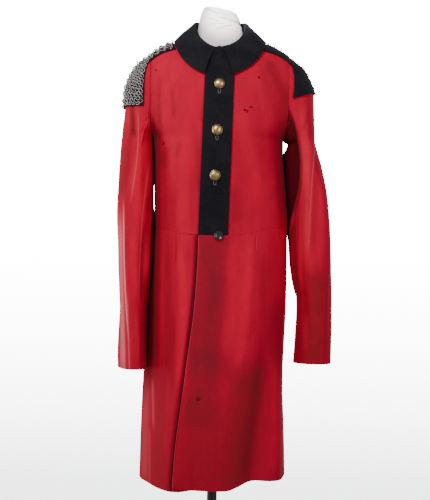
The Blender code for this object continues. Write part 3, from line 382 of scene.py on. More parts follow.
def ramp(value, low, high):
    """0 below low, 1 above high, and a smooth step between them."""
    t = np.clip((value - low) / (high - low), 0, 1)
    return t * t * (3 - 2 * t)


RIDGE_HEIGHTS = np.linspace(1.35, 1.43, 801)


def ridge(x):
    """The height of the shoulder seam."""
    return np.interp(-np.abs(x), -SHOULDER.left(RIDGE_HEIGHTS), RIDGE_HEIGHTS)


SHOULDER_POINT = float(ridge(ARMHOLE_TOP))


def sleeve_section(side, z):
    """The middle, half width, depths, place and lean of a sleeve's level section."""
    sleeve = SLEEVES[side]
    head = SHOULDER.right(z) if side == RIGHT else SHOULDER.left(z)
    outer = np.where(z > HEAD_FOOT, head, sleeve.outer(z))
    inner = sleeve.inner(z)
    return SimpleNamespace(
        centre=(outer + inner) / 2, half=(outer - inner) / 2, front=sleeve.front(z), back=sleeve.back(z),
        middle=sleeve.middle(z), lean=sleeve.lean(z),
    )


def armhole_depth(side, face, z):
    """How far the armhole seam stands before or behind the pole at a height."""
    section = sleeve_section(side, z)
    across = np.clip(np.abs(ARMHOLE.reach(z) - section.centre) / section.half, 0, 1)
    depth = section.front if face == FRONT else section.back
    return depth * (1 - across ** SLEEVE_ROUNDNESS) ** (1 / SLEEVE_ROUNDNESS) + face * section.middle


def body_half(side, face, z):
    """How far the body's level section would reach to a side. Through the armhole it is as wide as takes
    the section through the seam."""
    low = BODY.right(z) if side == RIGHT else BODY.left(z)
    top = SHOULDER.right(z) if side == RIGHT else SHOULDER.left(z)
    depth, power = body_depth(face, z), BODY.roundness(z)
    share = np.clip(armhole_depth(side, face, z) / depth, 0, DEEPEST_SHARE) ** power
    through = ARMHOLE.reach(z) / (1 - share) ** (1 / power)
    return np.where(z < ARMPIT, low, np.where(z < SHOULDER_POINT, through, top))


def body_depth(face, z):
    return BODY.front(z) if face == FRONT else BODY.back(z)


def body_level(side, face, points):
    """1 on the body's surface, less inside it."""
    x, y, z = np.moveaxis(points, -1, 0)
    power = BODY.roundness(z)
    return (np.abs(x) / body_half(side, face, z)) ** power + (np.abs(y) / body_depth(face, z)) ** power


def sleeve_level(side, points):
    """1 on a sleeve's surface, less inside it."""
    x, y, z = np.moveaxis(points, -1, 0)
    section = sleeve_section(side, z)
    back = y - section.middle
    across = (side * x + section.lean * back - section.centre) / section.half
    depth = np.where(back < 0, section.front, section.back)
    return np.abs(across) ** SLEEVE_ROUNDNESS + np.abs(back / depth) ** SLEEVE_ROUNDNESS


def outward(level, points):
    """The direction in which a level rises fastest, which is away from its surface."""
    step = 2e-5
    slopes = [level(points + step * axis) - level(points - step * axis) for axis in np.eye(3)]
    return unit(np.stack(slopes, axis=-1))


def body_angle(x, z, face):
    """Degrees round the body from the front, plus to the wearer's left."""
    share = np.where(
        x < 0, np.abs(x) / body_half(RIGHT, face, z), np.abs(x) / body_half(LEFT, face, z)
    )
    angle = np.degrees(np.arcsin(np.clip(share, 0, 1) ** (BODY.roundness(z) / 2)))
    angle = angle if face == FRONT else 180 - angle
    return np.where(x < 0, -angle, angle)


def body_fold(x, z, face):
    angle = body_angle(x, z, face)
    total = np.zeros_like(angle)
    for middle, low, high, width, height, drift, rise in BODY_FOLDS:
        apart = (angle - middle - drift * (z - high) + 180) % 360 - 180
        fade = ramp(z, low, low + FOLD_FOOT_FADE) * (1 - ramp(z, high - rise, high))
        total += height * np.exp(-((apart / width) ** 2)) * fade
    return total


def body_point(x, z, face):
    """Points of the body's surface, before or behind, with the way out of it."""
    x, z = np.broadcast_arrays(np.asarray(x, float), np.asarray(z, float))
    y = np.zeros_like(x)
    normal = np.zeros(x.shape + (3,))
    for side in (RIGHT, LEFT):
        here = (x < 0) == (side == RIGHT)
        power = BODY.roundness(z)
        share = np.clip(np.abs(x) / body_half(side, face, z), 0, 1)
        depth = body_depth(face, z) * (1 - share ** power) ** (1 / power)
        y = np.where(here, face * np.maximum(depth, SEAM_GAP / 2), y)
        points = np.stack([x, y, z], axis=-1)
        level = lambda p, s=side: body_level(s, face, p)
        normal[here] = outward(level, points)[here]
    return np.stack([x, y, z], axis=-1), normal


def sleeve_fold(side, angle, z):
    degrees = np.degrees(angle)
    total = np.zeros_like(degrees)
    for low, low_angle, high, high_angle, width, height in SLEEVE_FOLDS[side]:
        along = (z - low) / (high - low)
        apart = (degrees - low_angle - (high_angle - low_angle) * along + 180) % 360 - 180
        fade = ramp(along, *SLEEVE_FOLD_RISE) * (1 - ramp(along, *SLEEVE_FOLD_FADE))
        total += height * np.exp(-((apart / width) ** 2)) * fade
    return total


def sleeve_point(side, angle, z):
    """Points of a sleeve's surface. The angle goes round from the outer side, and is 90 degrees in front."""
    section = sleeve_section(side, z)
    power = 2 / SLEEVE_ROUNDNESS
    cosine, sine = np.cos(angle), np.sin(angle)
    depth = np.where(sine > 0, section.front, section.back)
    y = section.middle - depth * np.sign(sine) * np.abs(sine) ** power
    reach = section.centre + section.half * np.sign(cosine) * np.abs(cosine) ** power
    x = side * (reach - section.lean * (y - section.middle))
    points = np.stack([x, y, np.broadcast_to(z, x.shape)], axis=-1)
    return points, outward(lambda p: sleeve_level(side, p), points)


def armhole_angle(side, z):
    """The angle round the sleeve at which the armhole cuts its section."""
    section = sleeve_section(side, z)
    across = (ARMHOLE.reach(z) + SEAM_GAP - section.centre) / section.half
    return np.arccos(np.clip(np.sign(across) * np.abs(across) ** (SLEEVE_ROUNDNESS / 2), -1, 1))


def shoulder_point(side, reach, z, face):
    """Points over the shoulder, of the body inside the armhole seam and of the sleeve outside it."""
    points, normals = body_point(side * reach, z, face)
    section = sleeve_section(side, z)
    across = np.clip((reach - section.centre) / section.half, -1, 1)
    depth = section.front if face == FRONT else section.back
    y = section.middle + face * depth * (1 - np.abs(across) ** SLEEVE_ROUNDNESS) ** (1 / SLEEVE_ROUNDNESS)
    on_sleeve = np.stack([side * reach, y, z], axis=-1)
    sleeve_normals = outward(lambda p: sleeve_level(side, p), on_sleeve)
    outside = (reach > ARMHOLE.reach(z)) & (z < SHOULDER_POINT)
    blend = ramp(reach - ARMHOLE.reach(z), -0.012, 0.012)[..., None]
    points = np.where(outside[..., None], on_sleeve, points)
    blended = unit(normals * (1 - blend) + sleeve_normals * blend)
    normals = np.where((z < SHOULDER_POINT)[..., None], blended, normals)
    return points, normals


def neckline(x, face):
    """The height of the neckline, a half ellipse in front and behind."""
    lowest = NECKLINE_FRONT if face == FRONT else NECKLINE_BACK
    share = np.clip(np.abs(x) / NECK_REACH, 0, 1)
    return NECKLINE_SIDE - (NECKLINE_SIDE - lowest) * np.sqrt(1 - share ** 2)


def waist(x, face):
    return WAIST.front(x) if face == FRONT else WAIST.back(x)


def band_edge(z, edge):
    """Where the band's right (1) or left (2) edge is at a height."""
    along = (z - BAND_FOOT[0]) / (BAND_TOP[0] - BAND_FOOT[0])
    return BAND_FOOT[edge] + (BAND_TOP[edge] - BAND_FOOT[edge]) * along


def wrap_edge(z):
    return WRAP.across(z)


def side_reach(side, z):
    """How far a bodice panel goes towards the side at a height: to the side seam, or to the armhole."""
    low = BODY.right(z) if side == RIGHT else BODY.left(z)
    return np.where(z < ARMPIT, low, ARMHOLE.reach(z) - SEAM_GAP / 2)


def spread(start, count_neck, count_side):
    """Places from 0 to 1 across a bodice front, with one at the side of the neck, closer near the side."""
    turn = np.linspace(math.asin(start / NECK_REACH), math.pi / 2, count_neck + 1)
    share = np.clip((NECK_REACH * np.sin(turn) - start) / (ARMHOLE_TOP - start), 0, 1)
    neck = np.arcsin(share) / (math.pi / 2)
    return np.concatenate([neck, np.linspace(neck[-1], 1, count_side + 1)[1:]])


def bodice_rows(count):
    """Places from 0 at the waist to 1 at the top, close together where the shoulder turns over."""
    return 1 - (1 - np.linspace(0, 1, count + 1)) ** 2


def bodice_grid(side, face, start_of, places, count):
    """A bodice panel's points: columns go from the start to the side, rows from the waist to the top."""
    across = np.sin(places * math.pi / 2)[None, :]
    top_start = float(start_of(np.array(NECKLINE_FRONT))) * side
    top_reach = ARMHOLE_TOP - SEAM_GAP / 2
    top_x = top_start + (top_reach - top_start) * across
    top = np.where(np.abs(top_x) <= NECK_REACH + 1e-6, neckline(top_x, face), ridge(top_x))
    foot_x = start_of(np.array(SIDE_WAIST)) * side
    foot_x = foot_x + (side_reach(side, np.array(SIDE_WAIST)) - foot_x) * across
    foot = waist(side * foot_x, face) + SEAM_GAP
    z = foot + (top - foot) * bodice_rows(count)[:, None]
    start = start_of(z) * side
    reach = np.where(z < ARMPIT, side_reach(side, z), np.minimum(side_reach(side, z), top_reach))
    x = side * (start + (reach - start) * across)
    return body_point(x, z, face)


def skirt_grid(face, hem, start, end_side, columns):
    """A skirt panel's points, from a start line on the front or from one side round to the other."""
    places = np.linspace(0, 1, columns + 1)[None, :]
    down = np.linspace(0, 1, SKIRT_ROWS + 1)[:, None]
    z = MEAN_HEM + (SIDE_WAIST - MEAN_HEM) * down + 0 * places
    for _ in range(3):
        reach = np.where(end_side == RIGHT, BODY.right(z), BODY.left(z)) * end_side
        if start is None:
            far = np.where(end_side == RIGHT, BODY.left(z), BODY.right(z)) * -end_side
            x = (reach + far) / 2 - (reach - far) / 2 * np.cos(places * math.pi)
        else:
            x = start(z) + (reach - start(z)) * np.sin(places * math.pi / 2)
        low, high = hem(x), waist(x, face) - SEAM_GAP
        z = low + (high - low) * down
    return body_point(x, z, face)


def notch(side):
    """The height at which a sleeve's own seams meet the armhole."""
    heights = np.linspace(ARMPIT + 0.001, 1.30, 400)
    return float(np.interp(-SLEEVE_SEAM, -armhole_angle(side, heights), heights))


def sleeve_rows(count):
    """Places from 0 at the cuff to 1 at the top, closer together over the shoulder."""
    return 1 - (1 - np.linspace(0, 1, count + 1)) ** 1.8


def collar_lines(count):
    """The collar's base, fold and edge lines, from the right leaf's front edge round to the left one's."""
    along = np.concatenate([np.linspace(0, 1, count + 1), np.linspace(1, 0, count + 1)[1:]])
    side = np.concatenate([np.full(count + 1, RIGHT), np.full(count, LEFT)])
    before = along < COLLAR_SIDE
    base_x, edge_x = side * COLLAR.base(along), side * COLLAR.edge(along)
    base = np.zeros((len(along), 3))
    base_out, edge, edge_out = base.copy(), base.copy(), base.copy()
    for face, here in ((FRONT, before), (BACK, ~before)):
        base_z = np.minimum(neckline(base_x, face), ridge(base_x))
        found = body_point(base_x, base_z, face)
        base[here], base_out[here] = found[0][here], found[1][here]
        found = body_point(edge_x, COLLAR.edge_z(along), face)
        edge[here], edge_out[here] = found[0][here], found[1][here]
    edge = edge + edge_out * COLLAR.edge_lift(along)[:, None]
    fold = np.stack([side * COLLAR.fold_x(along), COLLAR.fold_y(along), COLLAR.fold_z(along)], axis=-1)
    shift = LEAF_SHIFT * (1 - ramp(along, 0, LEAF_SHIFT_END))
    fold[:, 0] += shift
    edge[:, 0] += shift * EDGE_SHIFT_SHARE
    return along, base, base_out, fold, edge, edge_out


# How the shoulder goes on from a patch's start towards the neck
RIB_LENGTH, RIB_SLOPE, RIB_FALL = 0.085, -0.033, -0.020


def rib_points(side, along, across):
    """Points over a shoulder: along from neck to arm, and across from -1 at the front edge to 1 behind."""
    patch = PATCHES[side]
    share = across ** 2
    before_start = np.minimum(along, 0)
    top_z = patch.top_z(along) + RIB_SLOPE * before_start
    section = sleeve_section(side, top_z)
    top = np.where(top_z < SHOULDER_POINT, section.centre + section.half, body_half(side, FRONT, top_z))
    reach = top + (patch.edge(along) + RIB_LENGTH * before_start - top) * share
    z = top_z + (patch.edge_z(along) + RIB_FALL * before_start - top_z) * share
    front = shoulder_point(side, reach, z, FRONT)
    back = shoulder_point(side, reach, z, BACK)
    before = (across < 0)[..., None]
    crest = (across == 0)[..., None]
    points = np.where(before, front[0], back[0])
    points = np.where(crest, points * [1, 0, 1], points)
    normals = np.where(before, front[1], back[1])
    normals = np.where(crest, unit(normals * [1, 0, 1]), normals)
    return points, normals


# Creases in front and behind: how high each stands, how wide it is to its left and right in the photo, and
# where it starts, passes and ends, as heights and places across
CREASE_NAMES = "height left right top_z top_x mid_z mid_x foot_z foot_x"
BODY_CREASES = {
    FRONT: [
        (0.0020, 0.014, 0.014, 0.978, -0.072, 0.869, -0.069, 0.740, -0.070),
        (-0.0026, 0.012, 0.012, 0.975, -0.103, 0.848, -0.096, 0.690, -0.098),
        (-0.0014, 0.003, 0.004, 0.992, -0.0855, 0.960, -0.0855, 0.925, -0.0850),
        (-0.0012, 0.004, 0.003, 0.995, 0.0840, 0.975, 0.0845, 0.950, 0.0850),
        (0.0018, 0.016, 0.010, 0.985, 0.075, 0.851, 0.069, 0.690, 0.048),
        (-0.0024, 0.010, 0.014, 1.300, -0.128, 1.164, -0.117, 1.020, -0.110),
        (0.0016, 0.014, 0.016, 1.250, -0.088, 1.100, -0.080, 1.000, -0.070),
        (-0.0014, 0.010, 0.005, 1.190, -0.044, 1.080, -0.046, 0.990, -0.048),
        (-0.0016, 0.012, 0.012, 1.330, 0.128, 1.260, 0.134, 1.200, 0.132),
        (0.0014, 0.010, 0.012, 1.300, 0.112, 1.180, 0.104, 1.080, 0.092),
        (-0.0014, 0.012, 0.010, 1.230, 0.050, 1.130, 0.072, 1.040, 0.100),
        (0.0016, 0.004, 0.006, 0.690, -0.136, 0.600, -0.137, 0.500, -0.139),
        (0.0012, 0.005, 0.006, 0.680, -0.150, 0.580, -0.152, 0.470, -0.153),
        (-0.0016, 0.008, 0.008, 0.690, -0.118, 0.600, -0.118, 0.500, -0.120),
    ],
    BACK: [
        (0.0020, 0.012, 0.014, 0.980, -0.090, 0.850, -0.094, 0.640, -0.104),
        (-0.0022, 0.012, 0.010, 0.975, -0.040, 0.840, -0.044, 0.700, -0.050),
        (0.0022, 0.014, 0.012, 0.985, 0.036, 0.830, 0.042, 0.600, 0.046),
        (-0.0022, 0.012, 0.014, 0.970, 0.092, 0.860, 0.096, 0.720, 0.102),
        (-0.0020, 0.012, 0.014, 1.300, 0.118, 1.180, 0.104, 1.060, 0.086),
        (-0.0020, 0.014, 0.012, 1.290, -0.116, 1.170, -0.106, 1.050, -0.090),
        (0.0016, 0.016, 0.016, 1.250, 0.030, 1.120, 0.024, 1.010, 0.026),
        (-0.0014, 0.016, 0.016, 1.200, -0.030, 1.100, -0.034, 1.010, -0.038),
    ],
}
SLEEVE_CREASES = {
    (RIGHT, FRONT): [
        (0.0034, 0.012, 0.006, 1.075, -0.196, 0.958, -0.1935, 0.840, -0.181),
        (0.0030, 0.010, 0.005, 0.930, -0.1900, 0.820, -0.1790, 0.690, -0.1740),
        (0.0026, 0.004, 0.014, 1.245, -0.1695, 1.150, -0.1705, 1.060, -0.1805),
        (0.0026, 0.006, 0.004, 1.130, -0.1470, 1.010, -0.1580, 0.860, -0.1590),
        (-0.0034, 0.008, 0.006, 1.250, -0.1825, 1.190, -0.1815, 1.100, -0.1900),
        (0.0016, 0.004, 0.004, 0.790, -0.1965, 0.740, -0.1955, 0.690, -0.1955),
        (-0.0060, 0.009, 0.012, 1.020, -0.1460, 0.870, -0.1455, 0.690, -0.1480),
    ],
    (RIGHT, BACK): [
        (0.0030, 0.010, 0.008, 1.180, -0.1900, 0.980, -0.1850, 0.760, -0.1740),
        (-0.0030, 0.010, 0.010, 1.120, -0.1700, 0.960, -0.1680, 0.800, -0.1600),
        (0.0024, 0.008, 0.008, 1.240, -0.1750, 1.150, -0.1600, 1.060, -0.1560),
    ],
    (LEFT, FRONT): [
        (0.0026, 0.007, 0.005, 1.225, 0.2070, 1.110, 0.1968, 0.930, 0.1920),
        (-0.0045, 0.004, 0.008, 1.190, 0.1610, 1.080, 0.1630, 0.930, 0.1680),
        (0.0026, 0.007, 0.010, 1.200, 0.1750, 1.080, 0.1740, 0.930, 0.1790),
        (-0.0022, 0.008, 0.010, 1.150, 0.2130, 1.000, 0.2160, 0.860, 0.2230),
        (0.0022, 0.008, 0.008, 0.960, 0.2020, 0.850, 0.2050, 0.740, 0.2150),
        (-0.0026, 0.008, 0.008, 0.980, 0.1850, 0.880, 0.1900, 0.780, 0.1980),
        (-0.0020, 0.006, 0.008, 1.290, 0.1560, 1.240, 0.1580, 1.200, 0.1600),
    ],
    (LEFT, BACK): [
        (0.0030, 0.010, 0.008, 1.180, 0.2000, 0.980, 0.2080, 0.760, 0.2220),
        (-0.0030, 0.010, 0.010, 1.120, 0.1760, 0.960, 0.1860, 0.800, 0.2000),
        (0.0024, 0.008, 0.008, 1.240, 0.1760, 1.150, 0.1700, 1.060, 0.1760),
    ],
}
CREASE_FADE = 0.22


def creases(rows, x, z):
    """How high the creases of a table stand at places across and heights."""
    total = np.zeros(np.broadcast(x, z).shape)
    names = CREASE_NAMES.split()
    for row in rows:
        c = SimpleNamespace(**dict(zip(names, row)))
        line = curve((c.foot_z, c.mid_z, c.top_z), (c.foot_x, c.mid_x, c.top_x))
        apart = x - line(z)
        width = np.where(apart < 0, c.left, c.right)
        length = c.top_z - c.foot_z
        fade = ramp(z, c.foot_z - CREASE_FADE * length, c.foot_z + CREASE_FADE * length)
        fade = fade * (1 - ramp(z, c.top_z - CREASE_FADE * length, c.top_z + CREASE_FADE * length))
        total += c.height * np.exp(-((apart / width) ** 2)) * fade
    return total


# The ripples of the surfaces: their seed, wavelength, stretch and height
RIPPLES = {
    "body": (11, 0.09, 3.0, 0.0006), RIGHT: (22, 0.07, 3.5, 0.0008), LEFT: (24, 0.07, 3.5, 0.0008),
    "collar": (31, 0.05, 1.0, 0.0004), "patch": (41, 0.03, 1.0, 0.0003), "neck": (51, 0.03, 1.0, 0.0003),
}


def waves(points, seed, wavelength, stretch, height, count=9):
    """A soft uneven ripple, which is longer up and down than across."""
    dice = np.random.default_rng(seed)
    total = np.zeros(points.shape[:-1])
    for _ in range(count):
        way = unit(dice.normal(size=3)) * [1, 1, 1 / stretch]
        pitch = wavelength * dice.uniform(0.6, 1.6)
        total += np.sin(points @ way * math.tau / pitch + dice.uniform(0, math.tau))
    return total * height / math.sqrt(count)


# The sleeves' inner sides swell towards the body, so that they hide the light between them as in the photo
TUCK_ANGLE = {RIGHT: 172, LEFT: 225}
TUCK_WIDTH = {RIGHT: 24, LEFT: 20}
TUCK = {
    RIGHT: curve(
        (0.69, 0.76, 0.80, 0.86, 0.90, 0.94, 0.98, 1.00, 1.020, 1.050, 1.090, 1.105, 1.140, 1.170,
         1.195, 1.225),
        (0.003, 0.005, 0.0085, 0.0125, 0.0155, 0.0170, 0.0165, 0.0155, 0.0130, 0.0072, 0.0055, 0.0068, 0.0072,
         0.0085, 0.0085, 0.0)),
    LEFT: curve((0.965, 1.000, 1.020, 1.060, 1.100, 1.140, 1.160, 1.170, 1.176),
                (0.0, 0.0045, 0.0050, 0.0050, 0.0058, 0.0085, 0.0100, 0.0100, 0.0)),
}
# The back's side edge swells a little behind the right sleeve: how far by height, and where across the coat
SIDE_SWELL = curve((0.76, 0.84, 0.98, 1.02, 1.040, 1.090, 1.110, 1.18, 1.22),
                   (0.0, 0.0040, 0.0050, 0.0050, 0.0020, 0.0020, 0.0045, 0.0050, 0.0))
SWELL_PLACE, SWELL_WIDTH = 0.985, 0.014


def body_relief(points, face):
    x, z = points[..., 0], points[..., 2]
    relief = body_fold(x, z, face) + creases(BODY_CREASES[face], x, z) + waves(points, *RIPPLES["body"])
    if face == BACK:
        apart = np.maximum(-x, 0) / BODY.right(z) - SWELL_PLACE
        relief = relief + SIDE_SWELL(z) * np.exp(-((apart / SWELL_WIDTH) ** 2))
    return relief


def sleeve_relief(side, angle, points):
    x, z = points[..., 0], points[..., 2]
    before = ramp(np.sin(angle), 0.0, 0.25)
    behind = ramp(-np.sin(angle), 0.0, 0.25)
    relief = sleeve_fold(side, angle, z) + waves(points, *RIPPLES[side])
    relief = relief + before * creases(SLEEVE_CREASES[side, FRONT], x, z)
    relief = relief + behind * creases(SLEEVE_CREASES[side, BACK], x, z)
    apart = np.degrees(angle) % 360 - TUCK_ANGLE[side]
    return relief + TUCK[side](z) * np.exp(-((apart / TUCK_WIDTH[side]) ** 2))


# How finely the shells are cut: in rows and columns a metre, or in all from edge to edge
ROWS_A_METRE = 250
COLUMNS_A_METRE = 260
SKIRT_ROWS = 9
SLEEVE_COLUMNS, UNDER_COLUMNS = 49, 35
BAND_COLUMNS = 17
# The columns of the bodice's pieces, up to the side of the neck and beyond it
RIGHT_COLUMNS, LEFT_COLUMNS, BACK_COLUMNS = (30, 30), (16, 30), (20, 26)
# The steps along the collar and over its roll, its fall and its stand, and the lines of a patch
COLLAR_COLUMNS, ROLL_STEPS, FALL_STEPS, STAND_STEPS = 70, 8, 20, 9
PATCH_LINES = 61
CLOTH_SHELL = 0.0019
# The panels' lengths and widths that the rows and columns are counted for
BODICE_LENGTH, SLEEVE_LENGTH, BAND_LENGTH = 0.43, 0.70, 0.40
OVER_WIDTH, UNDER_WIDTH, BACK_WIDTH = 0.29, 0.20, 0.42
# How far the inner face of a wall runs on at a seam, as a share of its thickness
SEAM_SLANT = 0.8


def add_piece(name, points, faces, look, nodes=(), sharp=40):
    """Adds a piece of the object from its points and faces, riding on the part's only body."""
    mesh = bpy.data.meshes.new(name)
    mesh.from_pydata(points.tolist(), [], faces if isinstance(faces, list) else faces.tolist())
    mesh.validate()
    mesh.shade_smooth()
    mesh.set_sharp_from_angle(angle=math.radians(sharp))
    mesh.materials.append(look)
    piece = bpy.data.objects.new(name, mesh)
    bpy.context.collection.objects.link(piece)
    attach(piece, "root")
    if nodes:
        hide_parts(*nodes)
    return piece


def grid_faces(rows, columns, start=0, flip=False, closed=False):
    """The faces of a grid of points, as point numbers."""
    i, j = np.meshgrid(np.arange(rows - 1), np.arange(columns if closed else columns - 1), indexing="ij")
    k = (j + 1) % columns
    corners = [i * columns + j, i * columns + k, (i + 1) * columns + k, (i + 1) * columns + j]
    faces = np.stack([c.ravel() for c in corners], axis=1) + start
    return faces[:, ::-1] if flip else faces


def tube_faces(rings, sides):
    """The faces of a round piece with closed ends, as point numbers."""
    faces = grid_faces(rings, sides, closed=True).tolist()
    return faces + [list(range(sides))[::-1], [(rings - 1) * sides + j for j in range(sides)]]


def shell(name, outer, inner, look):
    """A node's cloth, as a closed thin wall between two grids of points, with its faces outward."""
    rows, columns = outer.shape[:2]
    count = rows * columns
    across = outer[:, 1:] - outer[:, :-1]
    along = outer[1:] - outer[:-1]
    facing = np.cross(across[:-1], along[:, :-1])
    flip = float(np.sum(facing * (outer - inner)[:-1, :-1])) < 0
    numbers = np.arange(count).reshape(rows, columns)
    rim = np.concatenate([numbers[0], numbers[1:, -1], numbers[-1, -2::-1], numbers[-2:0:-1, 0]])
    after = np.roll(rim, -1)
    band = np.stack([rim, rim + count, after + count, after], axis=1)
    faces = np.concatenate([
        grid_faces(rows, columns, 0, flip),
        grid_faces(rows, columns, count, not flip),
        band[:, ::-1] if flip else band,
    ])
    points = np.concatenate([outer.reshape(-1, 3), inner.reshape(-1, 3)])
    return add_piece(f"{name}_cloth", points, faces, look, [name])


def cloth(name, points, normals, outside, look, thickness=CLOTH_SHELL, ends=(0, 0),
          sides=0):
    """A cloth wall. Its inner face is longer (or, if negative, shorter) than the outer one, so that no light
    shows through a seam: by these shares of its thickness at its first and last row and at both sides."""
    out = np.broadcast_to(outside, points.shape[:-1])[..., None]
    inner = points + normals * (out - thickness)
    inner[0] += unit(inner[0] - inner[1]) * ends[0] * thickness
    inner[-1] += unit(inner[-1] - inner[-2]) * ends[1] * thickness
    inner[:, 0] += unit(inner[:, 0] - inner[:, 1]) * sides * thickness
    inner[:, -1] += unit(inner[:, -1] - inner[:, -2]) * sides * thickness
    return shell(name, points + normals * out, inner, look)


def make_bodice(look):
    gap, ends = SEAM_GAP / 2, (-SEAM_SLANT, 0)
    rows = round(BODICE_LENGTH * ROWS_A_METRE)
    right_start = lambda z: band_edge(z, 2) - gap
    left_start = lambda z: band_edge(z, 2) + gap
    points, normals = bodice_grid(RIGHT, FRONT, right_start, spread(-BAND_TOP[2], *RIGHT_COLUMNS), rows)
    right = cloth("right_front_bodice", points, normals, body_relief(points, FRONT), look, ends=ends)
    points, normals = bodice_grid(LEFT, FRONT, left_start, spread(BAND_TOP[2], *LEFT_COLUMNS), rows)
    left = cloth("left_front_bodice", points, normals, body_relief(points, FRONT), look, ends=ends)
    places = spread(0.0, *BACK_COLUMNS)
    halves = [bodice_grid(side, BACK, lambda z: 0 * z, places, rows) for side in (RIGHT, LEFT)]
    points, normals = [
        np.concatenate([mirror[:, :0:-1], straight], axis=1) for mirror, straight in zip(*halves)
    ]
    back = cloth("back_bodice", points, normals, body_relief(points, BACK), look, ends=ends)
    return right, left, back


def make_skirt(look):
    columns = round(OVER_WIDTH * COLUMNS_A_METRE)
    points, normals = skirt_grid(FRONT, HEM.over, wrap_edge, LEFT, columns)
    x, z = points[..., 0], points[..., 2]
    lapped = 1 - ramp(x - wrap_edge(z), UNDERLAP, UNDERLAP + LAP_FADE)
    near_edge = np.exp(-((x - wrap_edge(z)) / FLARE_WIDTH) ** 2)
    flare = FLARE * near_edge * (1 - ramp(z, FLARE_LOW, FLARE_HIGH))
    relief = body_relief(points, FRONT) + LAP_STEP * lapped + flare
    over = cloth("left_front_skirt", points, normals, relief, look, ends=(0, SEAM_SLANT))

    columns = round(UNDER_WIDTH * COLUMNS_A_METRE)
    points, normals = skirt_grid(FRONT, HEM.under, lambda z: wrap_edge(z) + UNDERLAP, RIGHT, columns)
    x, z = points[..., 0], points[..., 2]
    lapped = ramp(x - wrap_edge(z), -LAP_FADE, 0)
    relief = body_relief(points, FRONT) - LAP_STEP * lapped
    under = cloth("right_front_skirt", points, normals, relief, look, ends=(0, SEAM_SLANT))

    points, normals = skirt_grid(BACK, HEM.back, None, LEFT, round(BACK_WIDTH * COLUMNS_A_METRE))
    back = cloth("back_skirt", points, normals, body_relief(points, BACK), look, ends=(0, SEAM_SLANT))
    return over, under, back


def make_sleeve(side, name, look):
    meeting = notch(side)
    gap = SEAM_GAP / SLEEVE_RADIUS
    rows = round(SLEEVE_LENGTH * ROWS_A_METRE)
    across = np.linspace(-1, 1, SLEEVE_COLUMNS)[None, :]
    top = meeting + (SHOULDER_POINT - SEAM_GAP - meeting) * np.sqrt(1 - across ** 2)
    z = CUFF[side] + (top - CUFF[side]) * sleeve_rows(rows)[:, None]
    rise = np.clip((z - meeting) / (SHOULDER_POINT - SEAM_GAP - meeting), 0, 1)
    widest = np.where(z < meeting, SLEEVE_SEAM - gap, armhole_angle(side, z))
    angle = widest * across / np.maximum(np.sqrt(1 - rise ** 2), np.abs(across) + 1e-9)
    points, normals = sleeve_point(side, angle, z)
    relief = sleeve_relief(side, angle, points)
    upper = cloth(f"{name}_upper_sleeve", points, normals, relief, look, sides=-SEAM_SLANT)

    across = np.linspace(-1, 1, UNDER_COLUMNS)[None, :]
    depth = np.abs(across)
    top = ARMPIT - SEAM_GAP * 2 + (meeting - ARMPIT) * depth ** 2
    z = CUFF[side] + (top - CUFF[side]) * sleeve_rows(rows)[:, None]
    opened = np.sqrt(np.clip((z - ARMPIT) / (meeting - ARMPIT), 0, 1))
    inmost = np.where(z > ARMPIT, armhole_angle(side, z), math.pi)
    seam = SLEEVE_SEAM + gap
    share = np.clip((1 - depth) / np.maximum(1 - opened, 1e-6), 0, 1)
    around = np.where(depth > 1 - 1e-9, seam, seam + (inmost - seam) * share)
    angle = np.where(across < 0, around, 2 * math.pi - around)
    points, normals = sleeve_point(side, angle, z)
    relief = sleeve_relief(side, angle, points)
    under = cloth(f"{name}_under_sleeve", points, normals, relief, look, sides=SEAM_SLANT)
    return upper, under


# The band rises to a low peak in the notch between the collar's leaves
BAND_PEAK, BAND_PEAK_PLACE, BAND_PEAK_WIDTH = 0.0165, -0.002, 0.012


def make_band(look):
    down = bodice_rows(round(BAND_LENGTH * ROWS_A_METRE))[:, None]
    places = np.linspace(0, 1, BAND_COLUMNS)[None, :]
    z = BAND_FOOT[0] + (NECKLINE_FRONT - BAND_FOOT[0]) * down + 0 * places
    for _ in range(3):
        x = band_edge(z, 1) + (band_edge(z, 2) - band_edge(z, 1)) * places
        peak = BAND_PEAK * np.exp(-(((x - BAND_PEAK_PLACE) / BAND_PEAK_WIDTH) ** 2))
        z = BAND_FOOT[0] + (neckline(x, FRONT) + peak - BAND_FOOT[0]) * down
    points, normals = body_point(x, z, FRONT)
    relief = body_relief(points, FRONT) + BAND_LIFT + CLOTH
    return cloth("front_band", points, normals, relief, look)


# The fall swells less at the sides: by how much, and where and how widely along it
FLAT_SHARE, FLAT_PLACE, FLAT_WIDTH = 0.95, 0.60, 0.20


